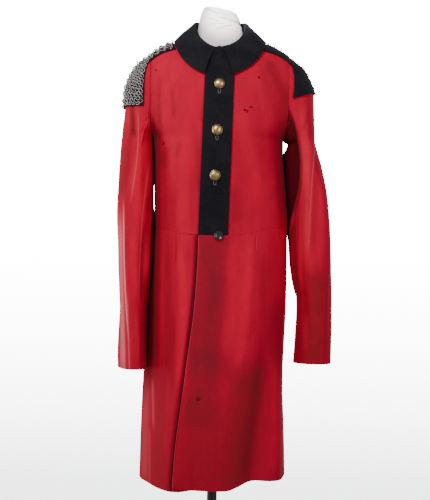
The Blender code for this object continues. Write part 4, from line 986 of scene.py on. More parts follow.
def make_collar(look):
    along, base, base_out, fold, edge, edge_out = collar_lines(COLLAR_COLUMNS)
    across = edge - fold
    flat = unit(across * [1, 1, 0] + 1e-9)
    up = np.array([0, 0, 1.0])

    # The fall rolls over the fold in a round bend, swells and comes down on the body
    inside = fold - flat * ROLL - up * ROLL * ROLL_INSIDE
    outside = fold + flat * ROLL - up * ROLL * ROLL_OUTSIDE
    over = []
    for share in np.linspace(0, 1, ROLL_STEPS + 1)[:-1]:
        low = inside + (outside - inside) * share
        top = fold - low
        over.append(low + top * math.sin(share * math.pi) ** 0.8)
    side_flat = 1 - FLAT_SHARE * np.exp(-(((along - FLAT_PLACE) / FLAT_WIDTH) ** 2))[:, None]
    for share in np.linspace(0, 1, FALL_STEPS + 1):
        swell = COLLAR_BULGE * 4 * share * (1 - share) * unit(edge_out + flat + up) * side_flat
        over.append(outside + (edge - outside) * share + swell)
    middle = np.array(over)
    ways = np.gradient(middle, axis=0)
    turns = np.gradient(middle, axis=1)
    normals = unit(np.cross(turns, ways))
    normals = normals * np.sign((normals[ROLL_STEPS + 6] * edge_out).sum(axis=-1))[None, :, None]
    half = COLLAR_CLOTH / 2
    middle = middle + normals * waves(middle, *RIPPLES["collar"])[..., None]
    fall = shell("collar_fall", middle + normals * half, middle - normals * half, look)

    lifted = base - base_out * CLOTH / 2 + unit(fold - base) * STAND_LIFT
    top = inside - up * STAND_DROP
    shares = np.linspace(0, 1, STAND_STEPS + 1)[:, None, None]
    middle = lifted + (top - lifted) * shares
    normals = unit(base_out * (1 - shares) + flat * shares)
    half = CLOTH / 2
    stand = shell("collar_stand", middle + normals * half, middle - normals * half, look)
    return fall, stand


def make_patch(side, name, look):
    along, across = np.linspace(0, 1, PATCH_LINES), np.linspace(-1, 1, PATCH_LINES)
    along, across = np.meshgrid(along, across, indexing="ij")
    start = PATCH_START - PATCH_CORNER * across ** 2
    along = start + (1 - start) * along
    points, normals = rib_points(side, along, across)
    outside = PATCH_LIFT + PATCH_CLOTH + waves(points, *RIPPLES["patch"])
    return cloth(f"{name}_shoulder_patch", points, normals, outside, look, PATCH_CLOTH)


# How far the patches and the mail run on towards the collar, as a share of the patch's length
PATCH_START, PATCH_CORNER = -0.02, 0.10
MAIL_FIRST = -0.02

# Ring mail, in which each ring hangs in the four next to it
RING_RADIUS = 0.0045
RING_WIRE = 0.00062
RING_PITCH = 0.0104
RING_ROW = 0.0072
RING_TILT = math.radians(30)
# Where a row starts and ends, and how far every second row is shifted, in shares of the pitch
ROW_START, ROW_END, ROW_SHIFT = 0.25, 0.2, 0.5
# The left mail comes further forward beside the collar, where its rings stand up along its edge
MAIL_NECK_SPREAD, UPRIGHT_TILT = 0.12, math.radians(35)
# The right mail's rings reach a little over its solid's front edge
MAIL_SPREAD = 0.04
# How far down the patch the left mail's forward edge and its upright rings go, and how far in from its edge
NECK_SPREAD_END, UPRIGHT_FADE, UPRIGHT_REACH = 0.55, (0.35, 0.6), 0.02
# How unevenly the rings lie: in their lean, their turn, their height and their place
LEAN_SPREAD, TURN_SPREAD, LIFT_SPREAD, PLACE_SPREAD = 0.12, 0.08, 0.0002, 0.00025
RING_SIDES, WIRE_SIDES = 11, 5
CREST_STEPS, RIB_STEPS = 400, 300


def ring_mesh():
    """The points of one ring in its own frame, flat in X and Y, and its faces."""
    turn = np.linspace(0, math.tau, RING_SIDES + 1)[:-1]
    wire = np.linspace(0, math.tau, WIRE_SIDES + 1)[:-1]
    turn, wire = np.meshgrid(turn, wire, indexing="ij")
    reach = RING_RADIUS + RING_WIRE * np.cos(wire)
    points = np.stack([reach * np.cos(turn), reach * np.sin(turn), RING_WIRE * np.sin(wire)], axis=-1)
    i, j = np.meshgrid(np.arange(RING_SIDES), np.arange(WIRE_SIDES), indexing="ij")
    k, m = (i + 1) % RING_SIDES, (j + 1) % WIRE_SIDES
    corners = [i * WIRE_SIDES + j, k * WIRE_SIDES + j, k * WIRE_SIDES + m, i * WIRE_SIDES + m]
    return points.reshape(-1, 3), np.stack([c.ravel() for c in corners], axis=1)


def make_mail(side, name, look):
    ring, ring_faces = ring_mesh()
    dice = np.random.default_rng(5 + side)
    lift = MAIL_LIFT + MAIL_THICKNESS / 2
    crest = np.linspace(MAIL_FIRST, MAIL_END, CREST_STEPS)
    line, _ = rib_points(side, crest, np.zeros_like(crest))
    length = np.concatenate([[0], np.cumsum(np.linalg.norm(np.diff(line, axis=0), axis=1))])
    rows = int(length[-1] / RING_ROW)
    points, faces, count = [], [], 0
    for row in range(rows + 1):
        at = float(np.interp(row * length[-1] / rows, length, crest))
        spread = MAIL_NECK_SPREAD * (1 - ramp(at, 0.0, NECK_SPREAD_END)) if side == LEFT else MAIL_SPREAD
        start_place = MAIL_FRONT[side] - spread
        places = np.linspace(start_place, MAIL_BACK, RIB_STEPS)
        rib, out = rib_points(side, np.full(RIB_STEPS, at), places)
        reach = np.concatenate([[0], np.cumsum(np.linalg.norm(np.diff(rib, axis=0), axis=1))])
        start = RING_PITCH * (ROW_START + ROW_SHIFT * (row % 2))
        for place in np.arange(start, reach[-1] - RING_PITCH * ROW_END, RING_PITCH):
            n = int(np.searchsorted(reach, place))
            n = min(max(n, 1), RIB_STEPS - 2)
            outward_way = unit(out[n])
            rib_way = unit(rib[n + 1] - rib[n - 1])
            row_way = unit(np.cross(rib_way, outward_way))
            stands = side == LEFT and place < UPRIGHT_REACH
            upright = UPRIGHT_TILT * (1 - ramp(at, *UPRIGHT_FADE)) if stands else 0
            lean = (RING_TILT + upright) * (1 if row % 2 else -1) + dice.normal(0, LEAN_SPREAD)
            facing = outward_way * math.cos(lean) + row_way * math.sin(lean)
            facing = unit(facing + rib_way * dice.normal(0, TURN_SPREAD))
            first = unit(np.cross(facing, row_way))
            second = np.cross(facing, first)
            centre = rib[n] + outward_way * (lift + dice.normal(0, LIFT_SPREAD))
            centre = centre + rib_way * dice.normal(0, PLACE_SPREAD)
            points.append(centre + ring @ np.stack([first, second, facing]))
            faces.append(ring_faces + count)
            count += len(ring)
    return add_piece(f"{name}_shoulder_mail_rings", np.concatenate(points), np.concatenate(faces), look,
                     [f"{name}_shoulder_mail"], sharp=180)


def lathe(name, profile, look, place, way, nodes):
    """A round piece from its profile of distances and heights, which starts and ends on the axis."""
    sides = BUTTON_SIDES
    turn = np.linspace(0, math.tau, sides + 1)[:-1]
    rings = np.array([[(r * math.cos(t), r * math.sin(t), h) for t in turn] for r, h in profile[1:-1]])
    spin = np.array(Vector((0, 0, 1)).rotation_difference(Vector(way)).to_matrix())
    points = np.concatenate([rings.reshape(-1, 3), [(0, 0, profile[0][1]), (0, 0, profile[-1][1])]])
    faces = grid_faces(len(rings), sides, closed=True).tolist()
    foot, top = len(points) - 2, len(points) - 1
    last = (len(rings) - 1) * sides
    for j in range(sides):
        k = (j + 1) % sides
        faces.append([foot, k, j])
        faces.append([top, last + j, last + k])
    return add_piece(name, points @ spin.T + np.array(place), faces, look, nodes, sharp=35)


def button_seat(height, across):
    """Where a button stands on the band, and which way it faces."""
    points, normals = body_point(np.array([across]), np.array([height]), FRONT)
    fold = float(body_relief(points, FRONT)[0])
    lift = BAND_LIFT + CLOTH + SEAM_GAP + fold
    return points[0] + normals[0] * lift, normals[0]


# The buttons' profiles, in shares of radius and depth: a dome on a rolled rim, and a dish in a raised rim
BRASS_RIM = [(0, 0), (0.72, 0), (0.97, 0.12), (1, 0.22), (0.975, 0.32), (0.94, 0.34)]
DOME_TURN = np.linspace(0, math.pi / 2, 12)[:-1]
BRASS_PROFILE = BRASS_RIM + [(0.92 * math.cos(t), 0.36 + 0.64 * math.sin(t)) for t in DOME_TURN] + [(0, 1)]
BLACK_PROFILE = [
    (0, 0), (0.72, 0), (0.96, 0.16), (1, 0.35), (0.99, 0.6), (0.94, 0.88), (0.86, 1), (0.78, 0.95),
    (0.68, 0.76), (0.55, 0.64), (0.3, 0.60), (0, 0.60),
]
BUTTON_SIDES = 48


def make_buttons(brass_look, gloss_look):
    for number, (height, across) in enumerate(BRASS_BUTTONS, 1):
        place, way = button_seat(height, across)
        dome = [(r * BRASS_RADIUS, h * BRASS_DEPTH) for r, h in BRASS_PROFILE]
        name = f"brass_button_{number}"
        lathe(f"{name}_dome", dome, brass_look, place, way, [name])
    place, way = button_seat(*BLACK_BUTTON)
    dish = [(r * BLACK_RADIUS, h * BLACK_DEPTH) for r, h in BLACK_PROFILE]
    lathe("black_button_dish", dish, gloss_look, place, way, ["black_button"])


# The lower ends of the buttonholes show under the brass buttons, edged with grey thread
LOOP_DROP = 0.0205
LOOP_WIDTH = 0.0050
LOOP_LENGTH = 0.0085
THREAD = 0.00042


def make_buttonholes(look):
    for number, (height, across) in enumerate(BRASS_BUTTONS, 1):
        turn = np.linspace(math.pi, math.tau, 9)
        arc = [(LOOP_WIDTH / 2 * math.cos(t), LOOP_WIDTH / 2 * math.sin(t)) for t in turn]
        straight = LOOP_LENGTH - LOOP_WIDTH / 2
        path = [(-LOOP_WIDTH / 2, straight)] + arc + [(LOOP_WIDTH / 2, straight)]
        line = []
        for aside, rise in path:
            seat, way = button_seat(height - LOOP_DROP + LOOP_WIDTH / 2 + rise, across + aside)
            line.append(seat + way * (THREAD * 0.5 - SEAM_GAP))
        tube(f"buttonhole_{number}", np.array(line), THREAD, look)


def tube(name, line, radius, look, sides=6):
    """A thin round tube along a line of points, with closed ends."""
    ways = unit(np.gradient(line, axis=0))
    side = unit(np.cross(ways, [0.0, -1.0, 0.0]))
    other = np.cross(side, ways)
    turn = np.linspace(0, math.tau, sides + 1)[:-1]
    rings = line[:, None] + radius * (
        side[:, None] * np.cos(turn)[None, :, None] + other[:, None] * np.sin(turn)[None, :, None]
    )
    return add_piece(name, rings.reshape(-1, 3), tube_faces(len(line), sides), look, sharp=180)


# Creases of the cloth round the form's neck: from one place to another across the front, with their heights
NECK_CREASES = [
    # height, width, from x, from z, to x, to z
    (-0.0026, 0.0024, -0.034, 1.482, -0.014, 1.471),
    (-0.0022, 0.0024, -0.014, 1.471, 0.022, 1.464),
    (-0.0036, 0.0026, -0.002, 1.4585, 0.046, 1.4490),
    (-0.0024, 0.0022, -0.022, 1.4570, -0.006, 1.4490),
    (-0.0020, 0.0022, -0.020, 1.4440, 0.008, 1.4450),
    (-0.0024, 0.0024, -0.012, 1.4310, 0.024, 1.4420),
    (0.0012, 0.0040, -0.004, 1.4620, 0.040, 1.4540),
    (0.0010, 0.0040, -0.030, 1.4480, 0.020, 1.4370),
]


def crease_line(x0, z0, x1, z1):
    """How long a crease is, and its direction."""
    length = math.hypot(x1 - x0, z1 - z0)
    return length, ((x1 - x0) / length, (z1 - z0) / length)


def neck_crease(x, z):
    total = np.zeros_like(x)
    for height, width, x0, z0, x1, z1 in NECK_CREASES:
        length, ways = crease_line(x0, z0, x1, z1)
        along = (x - x0) * ways[0] + (z - z0) * ways[1]
        apart = -(x - x0) * ways[1] + (z - z0) * ways[0]
        fade = ramp(along, -0.006, 0.004) * (1 - ramp(along, length - 0.004, length + 0.006))
        total += height * np.exp(-((apart / width) ** 2)) * fade
    return total


def make_neck(look):
    profile = curve([h for h, _ in NECK_PROFILE], [r for _, r in NECK_PROFILE])
    low, high = NECK_PROFILE[0][0], NECK_PROFILE[-1][0]
    heights = low + (high - low) * np.linspace(0, 1, NECK_RINGS)
    heights = np.concatenate([heights, np.full(len(NECK_TOP), high)])
    inward = np.concatenate([np.ones(NECK_RINGS), [share for share, _ in NECK_TOP]])
    rise = np.concatenate([np.zeros(NECK_RINGS), [height for _, height in NECK_TOP]])
    turn = np.linspace(0, math.tau, NECK_SIDES + 1)[:-1]
    radius = profile(heights) * inward
    x = radius[:, None] * np.cos(turn)
    y = NECK_FLATNESS * radius[:, None] * np.sin(turn)
    z = heights[:, None] - NECK_SLANT * x * ((heights - low) / (high - low))[:, None] + rise[:, None] + 0 * x
    out = unit(np.stack([x, y, 0 * x], axis=-1) + 1e-9)
    relief = neck_crease(x, z) * (y < 0.01) + neck_crease(-x, z) * (y >= 0.01)
    relief = relief + waves(out * NECK_RIPPLE_REACH, *RIPPLES["neck"])
    points = np.stack([x, y, z], axis=-1) + out * relief[..., None]
    faces = tube_faces(*points.shape[:2])
    points = points.reshape(-1, 3)
    return add_piece("form_neck_cover", points, faces, look, ["form_neck"], sharp=50)


def node(tree, kind, inputs=None, **settings):
    """A new shader node, with its settings and the numbers or sockets that go into it."""
    made = tree.nodes.new(kind)
    for name, value in settings.items():
        setattr(made, name, value)
    for socket, source in (inputs or {}).items():
        if isinstance(source, bpy.types.NodeSocket):
            tree.links.new(source, made.inputs[socket])
        else:
            made.inputs[socket].default_value = source
    return made


def start_look(name, **numbers):
    """A new material with its shader's own numbers set, and the place of each point as a socket."""
    look = bpy.data.materials.new(name)
    look.use_nodes = True
    tree = look.node_tree
    shader = tree.nodes["Principled BSDF"]
    for socket, value in numbers.items():
        shader.inputs[socket.replace("_", " ")].default_value = value
    place = node(tree, "ShaderNodeTexCoord").outputs["Object"]
    return look, tree, shader, place


def scaled(tree, place, scale):
    return node(tree, "ShaderNodeMapping", {"Vector": place, "Scale": scale}).outputs["Vector"]


def noise(tree, place, scale, detail=3.0, rough=0.55):
    inputs = {"Vector": place, "Scale": scale, "Detail": detail, "Roughness": rough}
    return node(tree, "ShaderNodeTexNoise", inputs).outputs["Fac"]


def spread_out(value, low, high, to_low=0.0, to_high=1.0):
    made = node(value.id_data, "ShaderNodeMapRange", {
        "Value": value, "From Min": low, "From Max": high, "To Min": to_low, "To Max": to_high,
    }, interpolation_type="SMOOTHSTEP")
    return made.outputs["Result"]


def sum_up(kind, first, second):
    """A sum of shader values, of which the first is a socket."""
    return node(first.id_data, "ShaderNodeMath", {0: first, 1: second}, operation=kind).outputs[0]


def times(first, second):
    return sum_up("MULTIPLY", first, second)


def plus(first, second):
    return sum_up("ADD", first, second)


def minus(first, second):
    return sum_up("SUBTRACT", first, second)


def over_by(first, second):
    return sum_up("DIVIDE", first, second)


def mixed(share, first, second):
    """A colour between two, which are sockets or have red, green and blue."""
    first, second = [c if isinstance(c, bpy.types.NodeSocket) else (*c, 1) for c in (first, second)]
    return node(share.id_data, "ShaderNodeMix", {0: share, 6: first, 7: second}, data_type="RGBA").outputs[2]


def bumped(tree, shader, height, distance, strength=1.0):
    made = node(tree, "ShaderNodeBump", {"Height": height, "Distance": distance, "Strength": strength})
    tree.links.new(made.outputs["Normal"], shader.inputs["Normal"])


# The camera and its view, found from the photo
CAMERA_PLACE = (-0.003, -2.8, 0.955)
CAMERA_ROLL = math.radians(1.06)
CAMERA_LENS = 91.6

# The red cloth's own colours, its darkening towards the hem, which is partly dirt and partly painted shade
# where the light falls off, and the dark of its specks and of a hole, which is painted shade inside the hole
RED, DEEP_RED, STREAK = (0.560, 0.0020, 0.0300), (0.465, 0.0025, 0.0270), (0.370, 0.0040, 0.022)
FLECK, GRIME = (0.620, 0.010, 0.042), (0.300, 0.006, 0.020)
HEM_GRIME_AND_SHADE, SPECK_AND_HOLE_SHADE = (0.220, 0.007, 0.016), (0.030, 0.001, 0.002)
# Painted highlight, shade, sheen and shadow for the red cloth, and its real stains, as colours
PAINTED_HIGHLIGHT, SHADE, STAIN = (0.640, 0.0010, 0.0320), (0.150, 0.0120, 0.0125), (0.190, 0.0100, 0.0200)
PINK_PAINTED_SHEEN, BRIGHT_PAINTED_SHEEN, SHADOW = (0.620, 0.0700, 0.1000), (0.950, 0.2200, 0.2500), (0.0250, 0.0010, 0.0020)

# Where the painted light, shade and sheen and the stains lie: each runs down a path of three places in the
# photo, in its pixels. It begins to fade at SOFT_START of its width, or at the share that its row ends with.
SOFT_START = 0.1
TONE_NAMES = "tone share left right top middle foot soft"
PAINTED_LIGHT_SHADE_AND_STAINS = {
    "body": [
        (SHADE, 0.30, 3, 3, (160, 80), (160, 105), (161, 130)),
        (SHADE, 0.35, 3, 3, (172, 90), (173, 102), (174, 118)),
        (SHADE, 0.22, 5, 4, (163, 148), (165, 195), (167, 236)),
        (SHADE, 0.38, 4, 6, (198, 140), (199, 190), (200, 234)),
        (STAIN, 0.35, 5, 5, (180, 143), (179, 150), (178, 158)),
        (STAIN, 0.35, 6, 6, (167, 148), (165, 158), (165, 168)),
        (PAINTED_HIGHLIGHT, 0.75, 8, 8, (186, 130), (184, 185), (182, 232)),
        (PAINTED_HIGHLIGHT, 0.40, 8, 8, (190, 90), (188, 110), (188, 130)),
        (SHADE, 0.50, 7, 12, (268, 60), (277, 84), (288, 112)),
        (SHADE, 0.25, 10, 8, (262, 62), (268, 85), (270, 115)),
        (SHADE, 0.50, 9, 7, (284, 100), (282, 165), (282, 226)),
        (PAINTED_HIGHLIGHT, 0.70, 10, 10, (240, 110), (248, 150), (256, 200)),
        (STAIN, 0.40, 8, 9, (236, 190), (235, 205), (236, 222)),
        (STAIN, 0.30, 7, 7, (276, 186), (275, 193), (272, 200)),
        (SHADE, 0.80, 4, 7, (157, 120), (155.5, 230), (154, 372)),
        (SHADOW, 0.75, 5, 3, (154, 125), (153, 240), (151, 366)),
        (PAINTED_HIGHLIGHT, 1.00, 6, 7, (178, 244), (183, 300), (180, 380)),
        (SHADE, 0.40, 5, 5, (168, 240), (168, 300), (166, 372)),
        (SHADE, 0.35, 4, 4, (174, 310), (173, 345), (172, 390)),
        (SHADE, 0.60, 0.9, 0.9, (176, 236), (176, 248), (176, 262)),
        (SHADE, 0.30, 9, 6, (165, 380), (160, 430), (160, 484)),
        (PINK_PAINTED_SHEEN, 0.45, 1.6, 1.6, (153, 380), (153.5, 400), (154, 424)),
        (PINK_PAINTED_SHEEN, 0.35, 5, 5, (147, 378), (146, 420), (145, 476)),
        (PINK_PAINTED_SHEEN, 0.30, 1.5, 1.5, (150, 430), (150, 455), (150, 480)),
        (STAIN, 0.72, 16, 22, (212, 228), (206, 300), (200, 372), 0.5),
        (STAIN, 0.50, 8, 9, (212, 262), (212, 290), (210, 318), 0.2),
        (STAIN, 0.55, 12, 26, (203, 350), (198, 385), (192, 425), 0.4),
        (STAIN, 0.45, 6, 7, (208, 330), (206, 345), (203, 360), 0.2),
        (SHADE, 0.25, 20, 36, (200, 400), (200, 445), (200, 492), 0.4),
        (STAIN, 0.60, 4, 4, (200, 389), (198, 397), (196, 405)),
        (PAINTED_HIGHLIGHT, 0.90, 9, 5.5, (251, 238), (247, 300), (238, 372)),
        (PAINTED_HIGHLIGHT, 0.55, 10, 9, (238, 240), (236, 290), (226, 350)),
        (SHADE, 0.28, 8, 14, (264, 256), (263, 325), (256, 400)),
        (SHADE, 0.35, 10, 10, (276, 300), (276, 330), (274, 366)),
        (SHADE, 0.55, 24, 20, (250, 365), (245, 425), (238, 484), 0.2),
        (PAINTED_HIGHLIGHT, 0.45, 7, 8, (276, 376), (275, 420), (272, 468)),
        (PAINTED_HIGHLIGHT, 0.65, 5, 5, (281, 238), (282, 270), (281, 300)),
        (PINK_PAINTED_SHEEN, 0.55, 1.3, 1.3, (282, 425), (282.5, 445), (283, 468)),
        (SHADE, 0.55, 0.8, 0.8, (256, 234), (255.5, 241), (255, 250)),
        (PINK_PAINTED_SHEEN, 0.25, 0.6, 0.9, (257, 234), (256.5, 241), (256, 250)),
    ],
    "right sleeve": [
        (SHADE, 0.50, 8, 6, (131, 128), (128, 160), (124, 200)),
        (PAINTED_HIGHLIGHT, 0.90, 6, 6, (137, 235), (137, 290), (137, 350)),
        (SHADE, 0.90, 3.5, 4, (133.5, 106), (134.2, 120), (135, 138)),
        (PAINTED_HIGHLIGHT, 1.00, 6, 6, (145, 122), (145, 165), (143, 212), 0.3),
        (PAINTED_HIGHLIGHT, 0.80, 5, 3, (146, 205), (147, 240), (147, 300), 0.3),
        (PINK_PAINTED_SHEEN, 0.60, 0.9, 0.9, (140, 119), (138.7, 164), (133.6, 198)),
        (PINK_PAINTED_SHEEN, 0.50, 0.8, 0.8, (149.5, 169), (145, 212), (141.7, 288)),
        (SHADE, 0.60, 1, 4, (146, 225), (143.5, 255), (143, 296)),
        (SHADOW, 0.95, 1.5, 6, (152.5, 118), (153.5, 180), (152.5, 238), 0.4),
        (SHADOW, 0.85, 1.5, 6, (152.5, 220), (151.5, 260), (150.5, 300), 0.4),
        (SHADOW, 0.60, 7, 8, (151, 276), (149, 320), (150.5, 368)),
        (SHADOW, 0.90, 4, 6, (150.5, 300), (149.5, 335), (150, 356)),
        (BRIGHT_PAINTED_SHEEN, 0.50, 5, 3.2, (122.5, 222), (124.2, 268), (127, 368)),
        (BRIGHT_PAINTED_SHEEN, 0.85, 1.2, 1.0, (126.3, 212), (127.4, 260), (131.6, 330)),
        (PINK_PAINTED_SHEEN, 0.80, 1.2, 1.0, (131, 296), (132, 337), (133.3, 368)),
        (PINK_PAINTED_SHEEN, 0.80, 0.9, 0.9, (123.7, 338), (123.7, 352), (123.7, 368)),
        (SHADE, 0.25, 5, 5, (137, 300), (138, 335), (139, 367)),
    ],
    "left sleeve": [
        (SHADE, 0.72, 5, 2.2, (289, 118), (298.5, 178), (288, 226), 0.5),
        (SHADOW, 0.80, 18, 1.0, (288.5, 116), (296.6, 176), (287, 224), 0.8),
        (SHADE, 0.80, 2.5, 3, (292, 226), (293, 250), (296, 290), 0.2),
        (PINK_PAINTED_SHEEN, 0.40, 0.9, 0.9, (293, 214), (290, 230), (288, 252)),
        (PAINTED_HIGHLIGHT, 1.00, 5, 5, (301, 112), (304, 170), (302, 250), 0.2),
        (PINK_PAINTED_SHEEN, 0.14, 6, 5, (301, 112), (304, 170), (302, 250)),
        (PINK_PAINTED_SHEEN, 0.60, 0.9, 0.9, (314.2, 134), (309.6, 180), (306, 250)),
        (SHADE, 0.35, 1, 6, (315, 136), (312, 180), (309, 250)),
        (SHADE, 0.40, 6, 6, (297, 285), (297, 325), (298, 362)),
        (SHADE, 0.65, 16, 16, (313, 270), (313, 320), (311, 364)),
        (SHADE, 0.25, 3, 3, (306, 115), (304, 124), (300, 134)),
    ],
}
# What is painted beside the wrap-over edge: from and to which distance from it, in millimetres, and how much
WRAP_TONES = [(-14, -1.0, SHADOW, 0.70), (-3.2, -1.6, SHADOW, 0.97), (0.8, 0.0, PINK_PAINTED_SHEEN, 0.40)]
# Between which heights they end at the waist
WRAP_END = (0.9835, 0.9865)
# Small dark specks, and a hole painted dark for the shade inside it: their places and sizes, in the photo's
# pixels
SPECK_AND_HOLE_PLACES = [
    (244.5, 110.5, 1.0, 1.0, 0.9), (247, 112, 0.8, 1.2, 0.9), (251, 108, 1.6, 0.8, 0.6),
    (259, 78, 1.2, 1.2, 0.6), (163.5, 143.5, 0.8, 1.4, 1.0), (156.5, 71.5, 1.2, 0.9, 0.6),
    (198.5, 398, 2.2, 1.8, 0.5), (301, 90, 0.5, 0.5, 0.5),
]
PIXEL = 0.0022
PHOTO_MIDDLE = (215, 250)
# How far the coat's front bulges to the camera, and how far to each side
FRONT_DEPTH, FRONT_REACH = 0.11, 0.15
PATH_FADE = 0.13


def seen(place):
    """Where a place in the photo, in its pixels, lies on the coat: across it, and its height."""
    aside, rise = place[0] - PHOTO_MIDDLE[0], PHOTO_MIDDLE[1] - place[1]
    turn = math.sin(CAMERA_ROLL)
    over, up = (aside - rise * turn) * PIXEL, (rise + aside * turn) * PIXEL
    near = 1 + FRONT_DEPTH / CAMERA_PLACE[1] * math.sqrt(max(0, 1 - (over / FRONT_REACH) ** 2))
    return CAMERA_PLACE[0] + over * near, CAMERA_PLACE[2] + up * near


def path_mask(x, z, row):
    """A soft mask down a path, and the tone that it shows."""
    c = SimpleNamespace(**{"soft": SOFT_START, **dict(zip(TONE_NAMES.split(), row))})
    places = [seen(place) for place in (c.top, c.middle, c.foot)]
    bend, slope, start = np.polyfit([up for _, up in places], [over for over, _ in places], 2)
    line = plus(times(plus(times(z, float(bend)), float(slope)), z), float(start))
    apart = minus(x, line)
    across = sum_up("MAXIMUM", over_by(apart, c.right * PIXEL), over_by(apart, -c.left * PIXEL))
    mask = spread_out(across, c.soft, 1.15, c.share, 0.0)
    top, foot = places[0][1], places[2][1]
    fade = PATH_FADE * (top - foot)
    mask = times(mask, spread_out(z, foot - fade, foot + fade))
    return times(mask, spread_out(z, top - fade, top + fade, 1.0, 0.0)), c.tone


def wrap_tones(x, z, front, colour):
    """The shadow under the wrap-over edge, and the light on it."""
    tree = z.id_data
    ramp_node = tree.nodes.new("ShaderNodeFloatCurve")
    low, high, lowest, highest = 0.44, 0.99, -0.09, -0.03
    line = ramp_node.mapping.curves[0]
    places = np.linspace(low, high, 9)
    for place, over in zip(places, wrap_edge(places)):
        spot = (float((place - low) / (high - low)), float((over - lowest) / (highest - lowest)))
        if place in (low, high):
            line.points[0 if place == low else -1].location = spot
        else:
            line.points.new(*spot)
    ramp_node.mapping.update()
    tree.links.new(spread_out(z, low, high), ramp_node.inputs["Value"])
    edge = plus(times(ramp_node.outputs[0], highest - lowest), lowest)
    apart = times(minus(x, edge), 1000)
    skirt = times(front, spread_out(z, *WRAP_END, 1.0, 0.0))
    for start, end, tone, share in WRAP_TONES:
        mask = spread_out(apart, start, end, 0.0 if start < 0 else share, share if start < 0 else 0.0)
        if start < 0:
            mask = times(mask, spread_out(apart, -0.3, 0.1, 1.0, 0.0))
        else:
            mask = times(spread_out(apart, -0.2, 0.0, 0.0, share), spread_out(apart, 0.8, 1.8, 1.0, 0.0))
        colour = mixed(times(mask, skirt), colour, tone)
    return colour


def stain_mask(x, z, rows, edge):
    """1 in the middle of small marks on the front and 0 away from them."""
    total = None
    for over, up, width, height, share in rows:
        over, up = seen((over, up))
        across = over_by(minus(x, over), width * PIXEL)
        along = over_by(minus(z, up), height * PIXEL)
        square = plus(times(across, across), times(along, along))
        mask = spread_out(sum_up("SQRT", square, 0.5), edge, 1.5, share, 0.0)
        total = mask if total is None else sum_up("MAXIMUM", total, mask)
    return total


# Between which depths the photo's painted light, shade and stains fade, on the way to the hidden sides
FRONT_FADE = {"body": (-0.010, 0.030), "right sleeve": (0.015, 0.050), "left sleeve": (0.020, 0.055)}


# Each part of the coat has its own copy of the red cloth, which differ in their painted light and shade and
# their stains
def red_look(where):
    look, tree, shader, place = start_look(
        "red_cloth_" + where.replace(" ", "_"), Roughness=0.8, Sheen_Weight=0.15, Sheen_Roughness=0.3,
        Sheen_Tint=(1.0, 0.40, 0.60, 1), Specular_IOR_Level=0.10,
    )
    apart = node(tree, "ShaderNodeSeparateXYZ", {0: place})
    x, z = apart.outputs["X"], apart.outputs["Z"]
    front = spread_out(apart.outputs["Y"], *FRONT_FADE[where], 1.0, 0.0)
    broad = noise(tree, scaled(tree, place, (1, 1, 0.45)), 13, 4)
    streaks = noise(tree, scaled(tree, place, (1, 1, 0.08)), 90, 3)
    fine = noise(tree, place, 420, 2)
    colour = mixed(spread_out(broad, 0.38, 0.66), RED, DEEP_RED)
    colour = mixed(spread_out(streaks, 0.45, 0.70, 0, 0.30), colour, STREAK)
    colour = mixed(spread_out(fine, 0.35, 0.65, 0, 0.20), colour, FLECK)
    grime = spread_out(noise(tree, scaled(tree, place, (1, 1, 0.6)), 8, 4, 0.6), 0.48, 0.75, 0, 0.35)
    colour = mixed(grime, colour, GRIME)
    # Darker towards the hem: partly dirt and partly painted shade where the light falls off downwards
    low = spread_out(z, 0.42, 0.92, 0.50, 0.0)
    colour = mixed(low, colour, HEM_GRIME_AND_SHADE)
    mottle = noise(tree, scaled(tree, place, (1, 1, 0.7)), 38, 5, 0.62)
    wobble = {
        STAIN: spread_out(mottle, 0.32, 0.60, 0.70, 1.0),
        SHADE: spread_out(mottle, 0.30, 0.60, 0.75, 1.0),
        PAINTED_HIGHLIGHT: spread_out(mottle, 0.40, 0.70, 1.0, 0.6),
    }
    # The painted highlights, shade, shadow and sheen, and the real stains, each down its path
    for row in PAINTED_LIGHT_SHADE_AND_STAINS[where]:
        mask, tone = path_mask(x, z, row)
        mask = times(mask, front)
        if tone in wobble:
            mask = times(mask, wobble[tone])
        colour = mixed(mask, colour, tone)
    if where == "body":
        colour = wrap_tones(x, z, front, colour)
    # Dark specks, and the painted shade in the hole
    speck_and_hole_mask = times(stain_mask(x, z, SPECK_AND_HOLE_PLACES, 0.7), front)
    colour = mixed(speck_and_hole_mask, colour, SPECK_AND_HOLE_SHADE)
    tree.links.new(colour, shader.inputs["Base Color"])
    weave = noise(tree, scaled(tree, place, (1, 1, 0.7)), 900, 2)
    nap = noise(tree, place, 160, 3)
    height = plus(times(weave, 0.5), nap)
    bumped(tree, shader, height, 0.0005, 0.5)
    return look


def black_look():
    look, tree, shader, place = start_look(
        "black_cloth", Roughness=0.9, Sheen_Weight=0.05, Sheen_Roughness=0.5, Sheen_Tint=(0.75, 0.80, 1.0, 1),
        Specular_IOR_Level=0.08,
    )
    broad = noise(tree, place, 30, 4)
    fine = noise(tree, place, 600, 2)
    colour = mixed(spread_out(broad, 0.35, 0.65), (0.0075, 0.0073, 0.0095), (0.0115, 0.0110, 0.0140))
    colour = mixed(spread_out(fine, 0.45, 0.70, 0, 0.5), colour, (0.020, 0.0195, 0.024))
    tree.links.new(colour, shader.inputs["Base Color"])
    bumped(tree, shader, plus(fine, noise(tree, place, 180, 3)), 0.0006, 0.6)
    return look


def thread_look():
    look, tree, shader, place = start_look("grey_thread", Roughness=0.8)
    shade = noise(tree, place, 2500, 2)
    tree.links.new(mixed(shade, (0.10, 0.10, 0.11), (0.30, 0.30, 0.31)), shader.inputs["Base Color"])
    bumped(tree, shader, shade, 0.0002)
    return look


